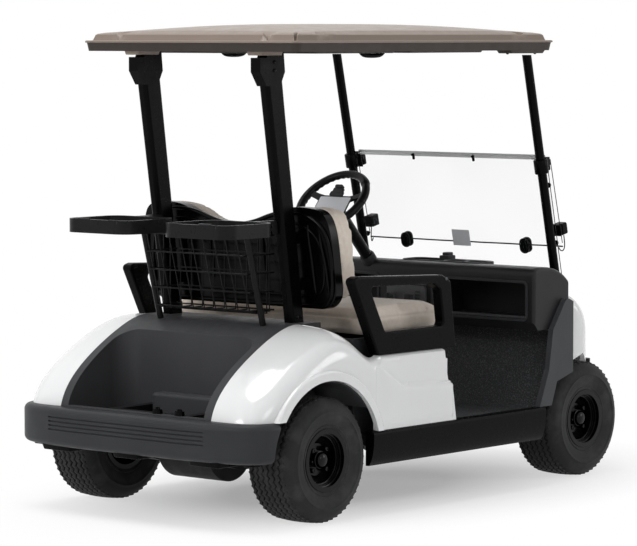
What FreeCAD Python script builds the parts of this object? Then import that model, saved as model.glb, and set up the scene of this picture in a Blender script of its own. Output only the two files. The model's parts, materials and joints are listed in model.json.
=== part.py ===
import FreeCAD, Part
import Sketcher
import math
import os
from FreeCAD import Placement, Rotation, Vector

# Golf cart in millimetres: +X forward, +Y left, +Z up.
# The origin is on the ground, at the middle of the length and of the width.
# A size whose name ends in "_at" is a place ahead of the rear axle.

os.makedirs("parts", exist_ok=True)
doc = FreeCAD.newDocument("golf_cart")

SIZES = [
    # whole cart
    ("overall_length", 2420), ("overall_width", 1200), ("overall_height", 1778), ("wheelbase", 1640),
    ("rear_overhang", 440), ("tyre_inset_rear", 2), ("tyre_inset_front", 57),
    # clearances shared by all pieces: a seam between neighbours, a running gap, and how far a cut runs past
    ("seam", 0.3), ("bearing_gap", 1), ("overrun", 20),
    # tyres and rims
    ("tyre_diameter", 457), ("tyre_width", 216), ("tread_width", 150), ("sidewall_drop", 62), ("bead_diameter", 203),
    ("rim_width", 178), ("rim_sheet", 5), ("rim_lip", 12), ("disc_offset", 42), ("disc_sheet", 8),
    ("disc_step", 16), ("disc_flat", 66), ("barrel_step", 6), ("barrel_run", 16), ("hub_diameter", 84),
    ("hub_inboard", 62), ("cap_diameter", 58), ("cap_length", 22), ("nut_circle", 101.6), ("nut_diameter", 18),
    ("nut_height", 12), ("nut_count", 4),
    # ladder frame
    ("rail_spacing", 370), ("rail_width", 40), ("rail_height", 80), ("rail_bottom", 200), ("kick_rise", 105),
    ("kick_run", 80), ("rear_kick_at", 280), ("front_kick_at", 1380), ("cross_width", 50), ("cross_rear_at", 340),
    ("cross_mid_at", 820), ("cross_front_at", 1300), ("outrigger_rear_at", 380), ("outrigger_front_at", 1240),
    ("outrigger_height", 40), ("outrigger_width", 44),
    # rear axle, drive unit and batteries
    ("axle_tube", 70), ("drive_width", 250), ("drive_top", 296), ("ground_clearance", 114), ("spring_width", 50),
    ("spring_leaf", 9), ("spring_leaves", 3), ("spring_span", 370), ("spring_sag", 62), ("spring_hanger", 24),
    ("battery_length", 390), ("battery_width", 760), ("battery_height", 270), ("battery_at", 520),
    # front axle and steering
    ("beam_width", 60), ("beam_height", 48), ("yoke_reach", 35), ("yoke_plate", 14), ("yoke_width", 24),
    ("yoke_height", 156), ("kingpin_offset", 100), ("kingpin_diameter", 36), ("ear_thickness", 16),
    ("ear_diameter", 44), ("coil_diameter", 66), ("spindle_diameter", 40), ("arm_length", 115), ("arm_inset", 40),
    ("arm_thickness", 12), ("arm_width", 26), ("arm_rise", 30), ("rack_diameter", 22), ("rack_housing", 50),
    ("rack_housing_length", 330), ("rod_end_diameter", 30), ("rod_end_height", 18), ("rod_drop", 8),
    # floor, rockers and seat base
    ("floor_sheet", 12), ("fold_radius", 40), ("firewall_foot_at", 1300), ("firewall_top_at", 1440),
    ("firewall_height", 590), ("floor_rear_at", 730), ("rocker_rear_at", 246), ("rocker_front_at", 1288),
    ("rocker_bottom", 183), ("rocker_top", 310), ("rocker_tuck", 26), ("rocker_width", 40), ("rocker_round", 14),
    ("base_width", 1000), ("base_top", 640), ("base_wall", 8),
    # rear fenders
    ("body_wall", 8), ("arch_radius", 285), ("fender_width", 230), ("fender_tail_at", -375), ("fender_foot", 388),
    ("fender_top", 696), ("crown_at", 96), ("fall_at", 306), ("side_top", 598), ("side_depth", 48),
    ("side_front_at", 674), ("side_lean", 65), ("shoulder_drop", 130), ("side_drop", 40), ("flare", 10),
    ("flare_width", 36), ("crease_height", 452), ("crease_depth", 7), ("crease_rear_at", 420),
    # bag well
    ("well_rim", 36), ("well_back_at", -65), ("well_corner", 80), ("well_floor", 392), ("deck_front_at", 220),
    ("deck_sheet", 24), ("rim_round", 12), ("hump_width", 320), ("hump_height", 38), ("hump_depth", 60),
    ("hump_round", 26),
    # bumpers and liners
    ("bumper_top", 386), ("bumper_bottom", 244), ("bumper_depth", 110), ("bumper_flat", 440), ("bumper_side", 175),
    ("bumper_wall", 60), ("bumper_round", 24), ("groove", 5), ("groove_length", 760), ("groove_pitch", 10),
    ("groove_low", 304), ("liner_sheet", 6), ("liner_front_low", 400),
    ("front_bumper_bottom", 300), ("front_bumper_depth", 70), ("front_bumper_width", 408), ("front_bumper_wrap", 30),
    # dashboard
    ("dash_rear_at", 1260), ("dash_front_at", 1484), ("dash_top", 842), ("dash_lip", 602), ("dash_round", 26),
    ("bin_bottom", 646), ("bin_top", 783), ("bin_inner", 69), ("bin_outer", 520),
    ("bin_depth", 190), ("bin_bevel", 60), ("left_bin_inner", 215), ("cup_diameter", 82), ("cup_depth", 60),
    ("cup_ring", 12), ("cup_ring_height", 4), ("cup_at", 1380), ("cup_y", -90), ("cup_pitch", 104),
    ("panel_left", 159), ("panel_right", -34), ("panel_bottom", 655), ("panel_top", 750), ("panel_sheet", 12),
    ("knob_diameter", 30), ("knob_height", 16), ("vent_width", 26),
    # front cowl and its trims
    ("cowl_top", 752), ("cowl_bottom", 430), ("cowl_wall", 8), ("cowl_width", 1140),
    ("cowl_tip_width", 560), ("cowl_tip_top", 486), ("cowl_corner", 90), ("cowl_setback", 22), ("trim_width", 24),
    ("trim_top", 723),
    # seat
    ("seat_hinge_at", 346), ("seat_length", 459), ("seat_side_gap", 30), ("seat_top", 733), ("seat_round", 28),
    ("back_side_gap", 68), ("back_hump", 1106), ("back_valley", 1050), ("back_foot", 744), ("back_angle", 8),
    ("back_inset", 14), ("back_rise", 28), ("back_thickness", 72), ("shell_thickness", 40),
    ("shell_front_at", 248), ("boss_low", 830), ("boss_high", 1000), ("boss_width", 36),
    # armrests
    ("armrest_inset", 48), ("armrest_thickness", 44), ("armrest_rear_at", 156), ("armrest_front_at", 758),
    ("armrest_top", 872), ("armrest_foot", 601), ("armrest_round", 8),
    # struts, posts and roof
    ("strut_y", 300), ("strut_width", 46), ("strut_depth", 92), ("strut_foot_at", 152),
    ("strut_top_at", 22), ("strut_bracket", 102), ("strut_round", 16), ("bracket_reach", 34),
    ("post_y", 477), ("post_diameter", 36), ("post_foot_at", 1523), ("post_foot", 744), ("post_sink", 120),
    ("post_top_at", 1310), ("post_plate_length", 60), ("post_plate_width", 70), ("post_plate_height", 30),
    ("roof_rear_at", -100), ("roof_front_at", 1440), ("roof_width", 1060), ("roof_thickness", 88),
    ("roof_lip", 28), ("roof_corner", 90), ("roof_inset", 34), ("roof_wall", 14),
    ("handle_at", 545), ("handle_y", 342),
    ("handle_length", 130), ("handle_drop", 34), ("handle_rod", 14), ("handle_bend", 22),
    # folding screen
    ("pane_thickness", 5), ("pane_width", 976), ("pane_offset", 26), ("pane_foot", 760), ("pane_top", 1264),
    ("fold_gap", 22), ("fold_foot", 911), ("fold_lean", 10), ("fold_rise", 8), ("pane_corner", 18),
    ("clip_width", 44), ("clip_height", 62),
    # bag rack and basket
    ("rack_rear_at", -330), ("rack_front_at", -52), ("rack_inner", 80), ("rack_outer", 400), ("rack_low", 1020),
    ("rack_height", 50), ("rack_band", 12), ("rack_corner", 60), ("leg_y", 253), ("leg_foot_at", 36),
    ("leg_foot", 684), ("leg_diameter", 24), ("wire", 6), ("thin_wire", 4.4), ("basket_low", 735),
    ("basket_top", 1012), ("basket_front_at", 108), ("basket_overhang", 22), ("basket_columns", 9),
    ("basket_rows", 5), ("basket_runners", 2),
    # steering wheel, column and pedals
    ("wheel_at", 1045), ("wheel_y", 270), ("wheel_height", 1085), ("wheel_radius", 152), ("wheel_rim", 26),
    ("column_angle", 47), ("column_diameter", 46), ("column_length", 370), ("hub_diameter_top", 90),
    ("hub_depth", 40),
    ("pedal_width", 70), ("pedal_height", 90), ("pedal_sheet", 10), ("pedal_at", 1220), ("pedal_rise", 40),
    ("brake_offset", 90), ("throttle_offset", 60), ("pedal_arm", 16),
]
sheet = doc.addObject("Spreadsheet::Sheet", "Sizes")
for row, (alias, number) in enumerate(SIZES, start=1):
    sheet.set("A%d" % row, alias)
    sheet.set("B%d" % row, str(number))
    sheet.setAlias("B%d" % row, alias)
doc.recompute()

X, Y, Z = Vector(1, 0, 0), Vector(0, 1, 0), Vector(0, 0, 1)


class Size:
    # A size that knows its number and the expression that gives it from the sheet
    def __init__(self, text, number):
        self.text = text
        self.number = float(number)

    def join(self, sign, other, first=True):
        if not isinstance(other, Size):
            other = Size("(%r)" % other, other)
        a, b = (self, other) if first else (other, self)
        numbers = {"+": a.number + b.number, "-": a.number - b.number, "*": a.number * b.number}
        if sign == "/":
            numbers["/"] = a.number / b.number
        return Size("(%s %s %s)" % (a.text, sign, b.text), numbers[sign])

    def __add__(self, other):
        return self.join("+", other)

    def __radd__(self, other):
        return self.join("+", other, False)

    def __sub__(self, other):
        return self.join("-", other)

    def __rsub__(self, other):
        return self.join("-", other, False)

    def __mul__(self, other):
        return self.join("*", other)

    def __rmul__(self, other):
        return self.join("*", other, False)

    def __truediv__(self, other):
        return self.join("/", other)

    def __neg__(self):
        return Size("(-%s)" % self.text, -self.number)

    def __float__(self):
        return self.number

    def __bool__(self):
        return self.number != 0


def call(function, number, *sizes):
    # An expression function of one or two sizes
    return Size("%s(%s)" % (function, "; ".join(size.text for size in sizes)), number)


def root(size):
    return call("sqrt", math.sqrt(float(size)), size)


def lean(run, rise):
    # The angle from upright of a run over a rise, in degrees
    return call("atan2", math.degrees(math.atan2(float(run), float(rise))), run, rise)


def sine(angle):
    return call("sin", math.sin(math.radians(float(angle))), angle)


def cosine(angle):
    return call("cos", math.cos(math.radians(float(angle))), angle)


class Reader:
    # Reads a named size from the sheet
    def __getattr__(self, alias):
        return Size("Sizes." + alias, sheet.get(alias))


D = Reader()
nodes = []


def bind(obj, prop, size):
    if isinstance(size, Size):
        obj.setExpression(prop, size.text)


def place(obj, x, y, z, turn=Rotation()):
    # Puts an object at a place that follows the sheet
    obj.Placement = Placement(Vector(float(x), float(y), float(z)), turn)
    for axis, size in (("x", x), ("y", y), ("z", z)):
        bind(obj, "Placement.Base." + axis, size)
    return obj


def keep(obj, label):
    # Names an object as one of the cart's sub-parts
    obj.Label = label
    nodes.append(obj)
    return obj


def block(name, xs, ys, zs):
    # A box between two places along each axis
    obj = doc.addObject("Part::Box", name)
    for prop, (low, high) in (("Length", xs), ("Width", ys), ("Height", zs)):
        bind(obj, prop, high - low)
    return place(obj, xs[0], ys[0], zs[0])


def rod(name, way, start, length, radius):
    # A round rod along one axis from its lower end
    obj = doc.addObject("Part::Cylinder", name)
    bind(obj, "Radius", radius)
    bind(obj, "Height", length)
    turns = {"x": Rotation(Y, 90), "y": Rotation(X, -90), "z": Rotation()}
    return place(obj, *start, turns[way])


def slanted_rod(name, start, end, radius):
    # A round rod that leans fore or aft
    run, rise = end[0] - start[0], end[2] - start[2]
    obj = doc.addObject("Part::Cylinder", name)
    bind(obj, "Radius", radius)
    bind(obj, "Height", root(run * run + rise * rise))
    angle = lean(run, rise)
    place(obj, *start, Rotation(Y, float(angle)))
    bind(obj, "Placement.Rotation.Angle", angle)
    return obj


def joined(name, parts):
    obj = doc.addObject("Part::MultiFuse", name)
    obj.Shapes = parts
    obj.Refine = True
    return obj


def cut(name, base, tools):
    # Takes the tools away from the base one after another
    for count, tool in enumerate(tools, start=1):
        obj = doc.addObject("Part::Cut", name if count == len(tools) else "%s_%d" % (name, count))
        obj.Base = base
        obj.Tool = tool
        obj.Refine = count == len(tools)
        base = obj
    return base


def shared(name, parts):
    obj = doc.addObject("Part::MultiCommon", name)
    obj.Shapes = parts
    obj.Refine = True
    return obj


def mirrored(name, source):
    # The same piece on the other side of the cart
    obj = doc.addObject("Part::Mirroring", name)
    obj.Source = source
    obj.Normal = Y
    return obj


def together(name, parts):
    obj = doc.addObject("Part::Compound", name)
    obj.Links = parts
    return obj


def both_sides(name, source):
    return together(name, [source, mirrored(name + "_right", source)])


# Outlines are lists of steps: (u, v) is a line to that point, (mu, mv, u, v) an arc through a point,
# and a list of points is one smooth curve whose control points they are.
def anchor(sketch, geometry, position, u, v):
    # Holds a point of a sketch at two sizes from the sketch's origin
    for kind, size, axis in (("DistanceX", u, -2), ("DistanceY", v, -1)):
        if isinstance(size, Size):
            limit = Sketcher.Constraint(kind, -1, 1, geometry, position, float(size))
            sketch.setExpression("Constraints[%d]" % sketch.addConstraint(limit), size.text)
        else:
            sketch.addConstraint(Sketcher.Constraint("PointOnObject", geometry, position, axis))


def flat(point):
    return Vector(float(point[0]), float(point[1]), 0)


def add_curve(sketch, here, step):
    poles = [here] + step
    curve = Part.BSplineCurve()
    inner = len(poles) - 4
    knots = [k / (inner + 1) for k in range(inner + 2)]
    curve.buildFromPolesMultsKnots([flat(p) for p in poles], [4] + [1] * inner + [4], knots, False, 3)
    geometry = sketch.addGeometry(curve, False)
    before = len(sketch.Geometry)
    sketch.exposeInternalGeometry(geometry)
    rings = [i for i in range(before, len(sketch.Geometry)) if sketch.Geometry[i].TypeId == "Part::GeomCircle"]
    for ring, pole in list(zip(rings, poles))[1:-1]:
        anchor(sketch, ring, 3, *pole)
    return geometry, 1


def add_arc(sketch, here, step):
    # A sketch's arcs run anticlockwise, so a clockwise one is drawn from its end
    through, end = step[:2], step[2:]
    forward = (flat(through) - flat(here)).cross(flat(end) - flat(here)).z > 0
    first, last = (here, end) if forward else (end, here)
    geometry = sketch.addGeometry(Part.ArcOfCircle(flat(first), flat(through), flat(last)), False)
    point = sketch.addGeometry(Part.Point(flat(through)), True)
    anchor(sketch, point, 1, *through)
    sketch.addConstraint(Sketcher.Constraint("PointOnObject", point, 1, geometry))
    return geometry, 1 if forward else 2


def draw(sketch, outline):
    # Draws a closed outline and holds every point of it
    here, runs = outline[0], []
    for step in outline[1:] + [outline[0]]:
        if isinstance(step, list):
            runs.append((here, add_curve(sketch, here, step)))
            here = step[-1]
        elif len(step) == 4:
            runs.append((here, add_arc(sketch, here, step)))
            here = step[2:]
        elif (flat(step) - flat(here)).Length > 0:
            line = sketch.addGeometry(Part.LineSegment(flat(here), flat(step)), False)
            runs.append((here, (line, 1)))
            here = step
    for start, (geometry, position) in runs:
        anchor(sketch, geometry, position, *start)
    for (_, (one, first)), (_, (two, second)) in zip(runs, runs[1:] + runs[:1]):
        sketch.addConstraint(Sketcher.Constraint("Coincident", one, 3 - first, two, second))


def draw_circle(sketch, u, v, radius):
    ring = sketch.addGeometry(Part.Circle(flat((u, v)), Z, float(radius)), False)
    anchor(sketch, ring, 3, u, v)
    limit = sketch.addConstraint(Sketcher.Constraint("Radius", ring, float(radius)))
    sketch.setExpression("Constraints[%d]" % limit, radius.text)


# XZ sketches look along the cart's width, XY sketches from above and YZ sketches from behind
def sketch_on(body, plane, outlines, offset):
    sketch = body.newObject("Sketcher::SketchObject", body.Name + "_outline")
    role = plane + "_Plane"
    sketch.AttachmentSupport = [([f for f in body.Origin.OriginFeatures if f.Role == role][0], "")]
    sketch.MapMode = "FlatFace"
    bind(sketch, "AttachmentOffset.Base.z", -offset if plane == "XZ" and isinstance(offset, Size) else offset)
    for outline in outlines:
        if isinstance(outline, tuple):
            draw_circle(sketch, *outline)
        else:
            draw(sketch, outline)
    sketch.Visibility = False
    return sketch


def prism(name, plane, outlines, low, high):
    # A body padded from one place to another square to its sketch's plane
    body = doc.addObject("PartDesign::Body", name)
    pad = body.newObject("PartDesign::Pad", name + "_pad")
    pad.Profile = sketch_on(body, plane, outlines, high if plane == "XZ" else low)
    bind(pad, "Length", high - low)
    return body


def pocket(body, plane, outlines, low, high):
    # Cuts outlines into a body from one place to another square to their plane
    hole = body.newObject("PartDesign::Pocket", body.Name + "_pocket")
    hole.Profile = sketch_on(body, plane, outlines, low if plane == "XZ" else high)
    bind(hole, "Length", high - low)
    return hole


def rounded(body, radius, chosen):
    # Rounds the edges of a body that a test picks out
    doc.recompute()
    base = body.Tip
    names = ["Edge%d" % (i + 1) for i, edge in enumerate(base.Shape.Edges) if chosen(edge)]
    fillet = body.newObject("PartDesign::Fillet", body.Name + "_round")
    fillet.Base = (base, names)
    bind(fillet, "Radius", radius)
    return body


def loft(name, sections, ruled=False):
    # A body through outlines seen from behind, given as pairs of place and outline, smooth unless it is ruled
    body = doc.addObject("PartDesign::Body", name)
    sketches = [sketch_on(body, "YZ", [outline], place) for place, outline in sections]
    skin = body.newObject("PartDesign::AdditiveLoft", name + "_loft")
    skin.Profile = sketches[0]
    skin.Sections = sketches[1:]
    skin.Ruled = ruled
    return body


def rectangle(u, v):
    return [(u[0], v[0]), (u[1], v[0]), (u[1], v[1]), (u[0], v[1])]


arc_share = 1 - math.sqrt(0.5)


def round_rectangle(u, v, radius):
    # A rectangle with four rounded corners
    near, steps = radius * arc_share, []
    corners = [(u[0], v[0], 1, 1), (u[1], v[0], -1, 1), (u[1], v[1], -1, -1), (u[0], v[1], 1, -1)]
    for turn, (a, b, p, q) in enumerate(corners):
        along, up = (a + radius * p, b), (a, b + radius * q)
        start, end = (up, along) if turn % 2 == 0 else (along, up)
        steps += [start, (a + near * p, b + near * q) + end]
    return steps


def runs_along(edge, way):
    # Tells whether an edge is straight and lies along an axis
    if edge.Curve.TypeId != "Part::GeomLine":
        return False
    return abs((edge.Vertexes[1].Point - edge.Vertexes[0].Point).normalize().dot(way)) > 0.999


def near(value, size, reach=None):
    # Tells whether a place on an edge agrees with a size
    return abs(value - float(size)) < float(reach or D.bearing_gap)


def revolved(name, outline, axis="V_Axis"):
    # A body turned about Y from an outline drawn as radius and Y, or about X with H_Axis
    body = doc.addObject("PartDesign::Body", name)
    turn = body.newObject("PartDesign::Revolution", name + "_turn")
    sketch = sketch_on(body, "XY", [outline], 0)
    turn.Profile = sketch
    turn.ReferenceAxis = (sketch, [axis])
    turn.Angle = 360
    return body


# Places that several pieces share
half_width = D.overall_width / 2
rear_track = D.overall_width - D.tyre_width - D.tyre_inset_rear * 2
front_track = D.overall_width - D.tyre_width - D.tyre_inset_front * 2
tail = -D.overall_length / 2
tip = D.overall_length / 2
axle_rear = tail + D.rear_overhang
axle_front = axle_rear + D.wheelbase
wheel_centre = D.tyre_diameter / 2
well_half_width = half_width - D.fender_width
sill = half_width - D.rocker_width
floor_edge = sill - D.seam
arm_inner = half_width - D.armrest_inset - D.armrest_thickness / 2
rail_inner = (D.rail_spacing - D.rail_width) / 2
rail_outer = rail_inner + D.rail_width
rail_low = D.rail_bottom
rail_high = D.rail_bottom + D.rail_height
kick_low = rail_low + D.kick_rise
kick_high = rail_high + D.kick_rise
floor_low = rail_high
floor_high = floor_low + D.floor_sheet
roof_low = D.overall_height - D.roof_thickness


def at(distance):
    # A place ahead of the rear axle
    return axle_rear + distance


def shares(points, x, run, z, rise):
    # Turns points given as shares of a run and a rise into places
    return [(x + run * u, z + rise * v) for u, v in points]


# Frame: two kicked-up rails, crossmembers and the outriggers that carry the floor
rail_rear = tail + D.bumper_depth + D.seam
rail_front = tip - D.front_bumper_depth - D.seam
rear_kick, front_kick = at(D.rear_kick_at), at(D.front_kick_at)
rail_line = [
    (rail_rear, kick_low), (rear_kick - D.kick_run, kick_low), (rear_kick, rail_low), (front_kick, rail_low),
    (front_kick + D.kick_run, kick_low), (rail_front, kick_low), (rail_front, kick_high),
    (front_kick + D.kick_run, kick_high), (front_kick, rail_high), (rear_kick, rail_high),
    (rear_kick - D.kick_run, kick_high), (rail_rear, kick_high),
]
rail = prism("rail", "XZ", [rail_line], rail_inner, rail_outer)
frame_parts = [rail, mirrored("rail_right", rail)]
arm_x = axle_front - D.arm_length
for name, place_at in (("rear", D.cross_rear_at), ("mid", D.cross_mid_at), ("front", D.cross_front_at)):
    x = at(place_at)
    frame_parts.append(block("cross_" + name, (x - D.cross_width / 2, x + D.cross_width / 2),
                             (-rail_inner, rail_inner), (rail_low, rail_high)))
for name, x in (("tail", rail_rear), ("rack", arm_x - D.cross_width / 2), ("nose", rail_front - D.cross_width)):
    frame_parts.append(block("cross_" + name, (x, x + D.cross_width), (-rail_inner, rail_inner),
                             (kick_low, kick_high)))
for name, place_at in (("rear", D.outrigger_rear_at), ("mid", D.cross_mid_at), ("front", D.outrigger_front_at)):
    x = at(place_at)
    arm = block("outrigger_" + name, (x - D.outrigger_width / 2, x + D.outrigger_width / 2),
                (rail_outer, floor_edge), (rail_high - D.outrigger_height, rail_high))
    frame_parts += [arm, mirrored("outrigger_%s_right" % name, arm)]
frame = keep(joined("frame_whole", frame_parts), "frame")

# Rear axle: tubes on both sides of the gear case, on leaf springs under the rails
spring_y = D.rail_spacing / 2
spring_seat = wheel_centre - D.axle_tube / 2
spring_low, spring_high = spring_y - D.spring_width / 2, spring_y + D.spring_width / 2
tube_end = rear_track / 2 - D.hub_inboard - D.seam
half_axle = [rod("axle_tube", "y", (axle_rear, D.drive_width / 2, wheel_centre), tube_end - D.drive_width / 2,
                 D.axle_tube / 2)]
leaf_share = 0.22
for leaf in range(int(float(D.spring_leaves))):
    share = 1 - leaf_share * leaf
    reach, sag = D.spring_span / 2 * share, D.spring_sag * share ** 2
    top = spring_seat - D.spring_leaf * leaf
    low = top - D.spring_leaf
    strip = [(axle_rear - reach, top + sag), (axle_rear, top, axle_rear + reach, top + sag),
             (axle_rear + reach, low + sag), (axle_rear, low, axle_rear - reach, low + sag)]
    half_axle.append(prism("leaf_%d" % leaf, "XZ", [strip], spring_low, spring_high))
for name, x in (("rear", axle_rear - D.spring_span / 2), ("front", axle_rear + D.spring_span / 2)):
    half_axle.append(block("hanger_" + name, (x - D.spring_hanger / 2, x + D.spring_hanger / 2),
                           (spring_low, spring_high), (spring_seat - D.spring_leaf + D.spring_sag, kick_low)))
half_axle.append(block("spring_clamp", (axle_rear - D.spring_hanger, axle_rear + D.spring_hanger),
                       (spring_low, spring_high), (spring_seat - D.spring_leaf * D.spring_leaves, wheel_centre)))
keep(both_sides("axle_and_springs", joined("half_axle", half_axle)), "rear_axle")

# Drive unit: the gear case and motor as one block with a round belly
drive_half, drive_shoulder = D.drive_width / 2, wheel_centre
belly = [(axle_rear - drive_half, drive_shoulder), (axle_rear, D.ground_clearance, axle_rear + drive_half,
                                                    drive_shoulder),
         (axle_rear + drive_half, D.drive_top), (axle_rear - drive_half, D.drive_top)]
keep(prism("drive_case", "XZ", [belly], -drive_half, drive_half), "drive_unit")
battery_x = at(D.battery_at)
keep(block("batteries", (battery_x - D.battery_length / 2, battery_x + D.battery_length / 2),
           (-D.battery_width / 2, D.battery_width / 2), (rail_high, rail_high + D.battery_height)), "battery_pack")

# Front axle: a beam with a yoke at each end, coil springs up to the rails, and the rack housing
kingpin_y = front_track / 2 - D.kingpin_offset
arm_y = kingpin_y - D.arm_inset
beam_end = kingpin_y - D.yoke_reach
beam_low, beam_high = wheel_centre - D.beam_height / 2, wheel_centre + D.beam_height / 2
yoke_low, yoke_high = wheel_centre - D.yoke_height / 2, wheel_centre + D.yoke_height / 2
yoke_xs = (axle_front - D.yoke_width / 2, axle_front + D.yoke_width / 2)
half_beam = [
    block("beam", (axle_front - D.beam_width / 2, axle_front + D.beam_width / 2), (-beam_end, beam_end),
          (beam_low, beam_high)),
    block("yoke_plate", yoke_xs, (beam_end - D.yoke_plate, beam_end), (yoke_low, yoke_high)),
    rod("coil", "z", (axle_front, spring_y, beam_high), kick_low - beam_high, D.coil_diameter / 2),
]
for name, low in (("low", yoke_low), ("high", yoke_high - D.ear_thickness)):
    half_beam.append(block("ear_bar_" + name, yoke_xs, (beam_end - D.yoke_plate, kingpin_y),
                           (low, low + D.ear_thickness)))
    half_beam.append(rod("ear_" + name, "z", (axle_front, kingpin_y, low), D.ear_thickness, D.ear_diameter / 2))
beam_half = joined("half_beam", half_beam)
beam = joined("beam_whole", [beam_half, mirrored("half_beam_right", beam_half)])
housing = joined("rack_case", [
    rod("rack_tube", "y", (arm_x, -D.rack_housing_length / 2, wheel_centre), D.rack_housing_length,
        D.rack_housing / 2),
    block("rack_hanger", (arm_x - D.cross_width / 2, arm_x + D.cross_width / 2), (-D.cross_width, D.cross_width),
          (wheel_centre, kick_low)),
])
rack_bore = rod("rack_bore", "y", (arm_x, -D.rack_housing_length, wheel_centre), D.rack_housing_length * 2,
                D.rack_diameter / 2 + D.bearing_gap)
keep(together("front_suspension", [beam, cut("rack_case_bored", housing, [rack_bore])]), "front_axle")

# Knuckle: kingpin upright, spindle and steering arm
pin_low = yoke_low + D.ear_thickness + D.seam
pin_high = yoke_high - D.ear_thickness - D.seam
spindle_end = front_track / 2 - D.hub_inboard - D.seam
arm_low = wheel_centre + D.arm_rise
arm_span = root(D.arm_length * D.arm_length + D.arm_inset * D.arm_inset)
side_x = D.arm_width / 2 * D.arm_inset / arm_span
side_y = D.arm_width / 2 * D.arm_length / arm_span
arm_plan = [(axle_front + side_x, kingpin_y - side_y), (arm_x + side_x, arm_y - side_y),
            (arm_x - side_x, arm_y + side_y), (axle_front - side_x, kingpin_y + side_y)]
knuckle = joined("knuckle", [
    rod("upright", "z", (axle_front, kingpin_y, pin_low), pin_high - pin_low, D.kingpin_diameter / 2),
    rod("spindle", "y", (axle_front, kingpin_y, wheel_centre), spindle_end - kingpin_y, D.spindle_diameter / 2),
    prism("steering_arm", "XY", [arm_plan], arm_low, arm_low + D.arm_thickness),
    rod("arm_eye", "z", (arm_x, arm_y, arm_low), D.arm_thickness, D.arm_width / 2),
])
keep(knuckle, "knuckle_left")
keep(mirrored("knuckle_mirrored", knuckle), "knuckle_right")

# Steering rack: a bar through the housing with a rod end under each arm
rod_end_high = arm_low - D.rod_drop
rod_end = rod("rod_end", "z", (arm_x, arm_y, rod_end_high - D.rod_end_height), D.rod_end_height,
              D.rod_end_diameter / 2)
keep(joined("rack_whole", [rod("rack_bar", "y", (arm_x, -arm_y, wheel_centre), arm_y * 2, D.rack_diameter / 2),
                           rod_end, mirrored("rod_end_right", rod_end)]), "steering_rack")

# Wheels: a tyre and a stepped steel rim, whose outer side is towards +Y before it is turned
crown, half_tyre, half_rim = D.tyre_diameter / 2, D.tyre_width / 2, D.rim_width / 2
bead = D.bead_diameter / 2
lip = bead + D.rim_lip
tyre_foot = half_rim - D.seam
tread_half = D.tread_width / 2
belly_radius = crown - D.sidewall_drop
shoulder_radius = crown - D.sidewall_drop / 4
tyre_line = [
    (bead + D.seam, -tyre_foot), (lip, -tyre_foot), (belly_radius, -half_tyre), (shoulder_radius, -half_tyre * 0.93),
    (crown - D.seam, -tread_half), (crown, 0, crown - D.seam, tread_half), (shoulder_radius, half_tyre * 0.93),
    (belly_radius, half_tyre), (lip, tyre_foot), (bead + D.seam, tyre_foot),
]
rim_inner = bead - D.rim_sheet
face = D.disc_offset
back = face - D.disc_sheet
cap, hub = D.cap_diameter / 2, D.hub_diameter / 2
step_1, step_2 = rim_inner - D.barrel_step, rim_inner - D.barrel_step * 2
rim_line = [
    (rim_inner, -half_rim - D.rim_sheet), (lip, -half_rim - D.rim_sheet), (lip, -half_rim), (bead, -half_rim),
    (bead, half_rim), (lip, half_rim), (lip, half_rim + D.rim_sheet), (rim_inner, half_rim + D.rim_sheet),
    (rim_inner, half_rim - D.barrel_run), (step_1, half_rim - D.barrel_run), (step_1, face + D.barrel_run),
    (step_2, face + D.barrel_run), (step_2, face - D.disc_step), (D.disc_flat, face - D.disc_step),
    (D.disc_flat - D.disc_sheet, face), (cap, face), (cap, face + D.cap_length), (0, face + D.cap_length),
    (0, -D.hub_inboard), (hub, -D.hub_inboard), (hub, back - D.disc_step), (rim_inner, back - D.disc_step),
]
turned = {"left": Rotation(), "right": Rotation(Z, 180)}
for end, x, track in (("rear", axle_rear, rear_track), ("front", axle_front, front_track)):
    for side, y in (("left", track / 2), ("right", -track / 2)):
        tag = "%s_%s" % (end, side)
        tyre = revolved("tyre_" + tag, tyre_line)
        keep(place(tyre, x, y, wheel_centre, turned[side]), "tyre_" + tag)
        rim = [revolved("rim_disc_" + tag, rim_line)]
        for nut in range(int(float(D.nut_count))):
            angle = 2 * math.pi * (nut + 0.5) / float(D.nut_count)
            middle = D.nut_circle / 2
            rim.append(rod("nut_%d_%s" % (nut, tag), "y", (middle * math.cos(angle), face - D.disc_sheet / 2,
                                                           middle * math.sin(angle)),
                           D.nut_height + D.disc_sheet / 2, D.nut_diameter / 2))
        keep(place(joined("rim_" + tag, rim), x, y, wheel_centre, turned[side]), "rim_" + tag)

# Floor and firewall in one folded sheet
firewall_foot, firewall_top = at(D.firewall_foot_at), at(D.firewall_top_at)
floor_rear = at(D.floor_rear_at)
floor_line = [(floor_rear, floor_low), (firewall_foot, floor_low), (firewall_top, D.firewall_height),
              (firewall_top - D.floor_sheet, D.firewall_height), (firewall_foot - D.floor_sheet / 2, floor_high),
              (floor_rear, floor_high)]
floor = prism("floor_sheet", "XZ", [floor_line], -floor_edge, floor_edge)
fold_low, fold_high = float(firewall_foot - D.floor_sheet), float(firewall_foot + D.bearing_gap)
rounded(floor, D.fold_radius, lambda e: runs_along(e, Y) and fold_low < e.BoundBox.Center.x < fold_high)
keep(floor, "floor_pan")

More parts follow.
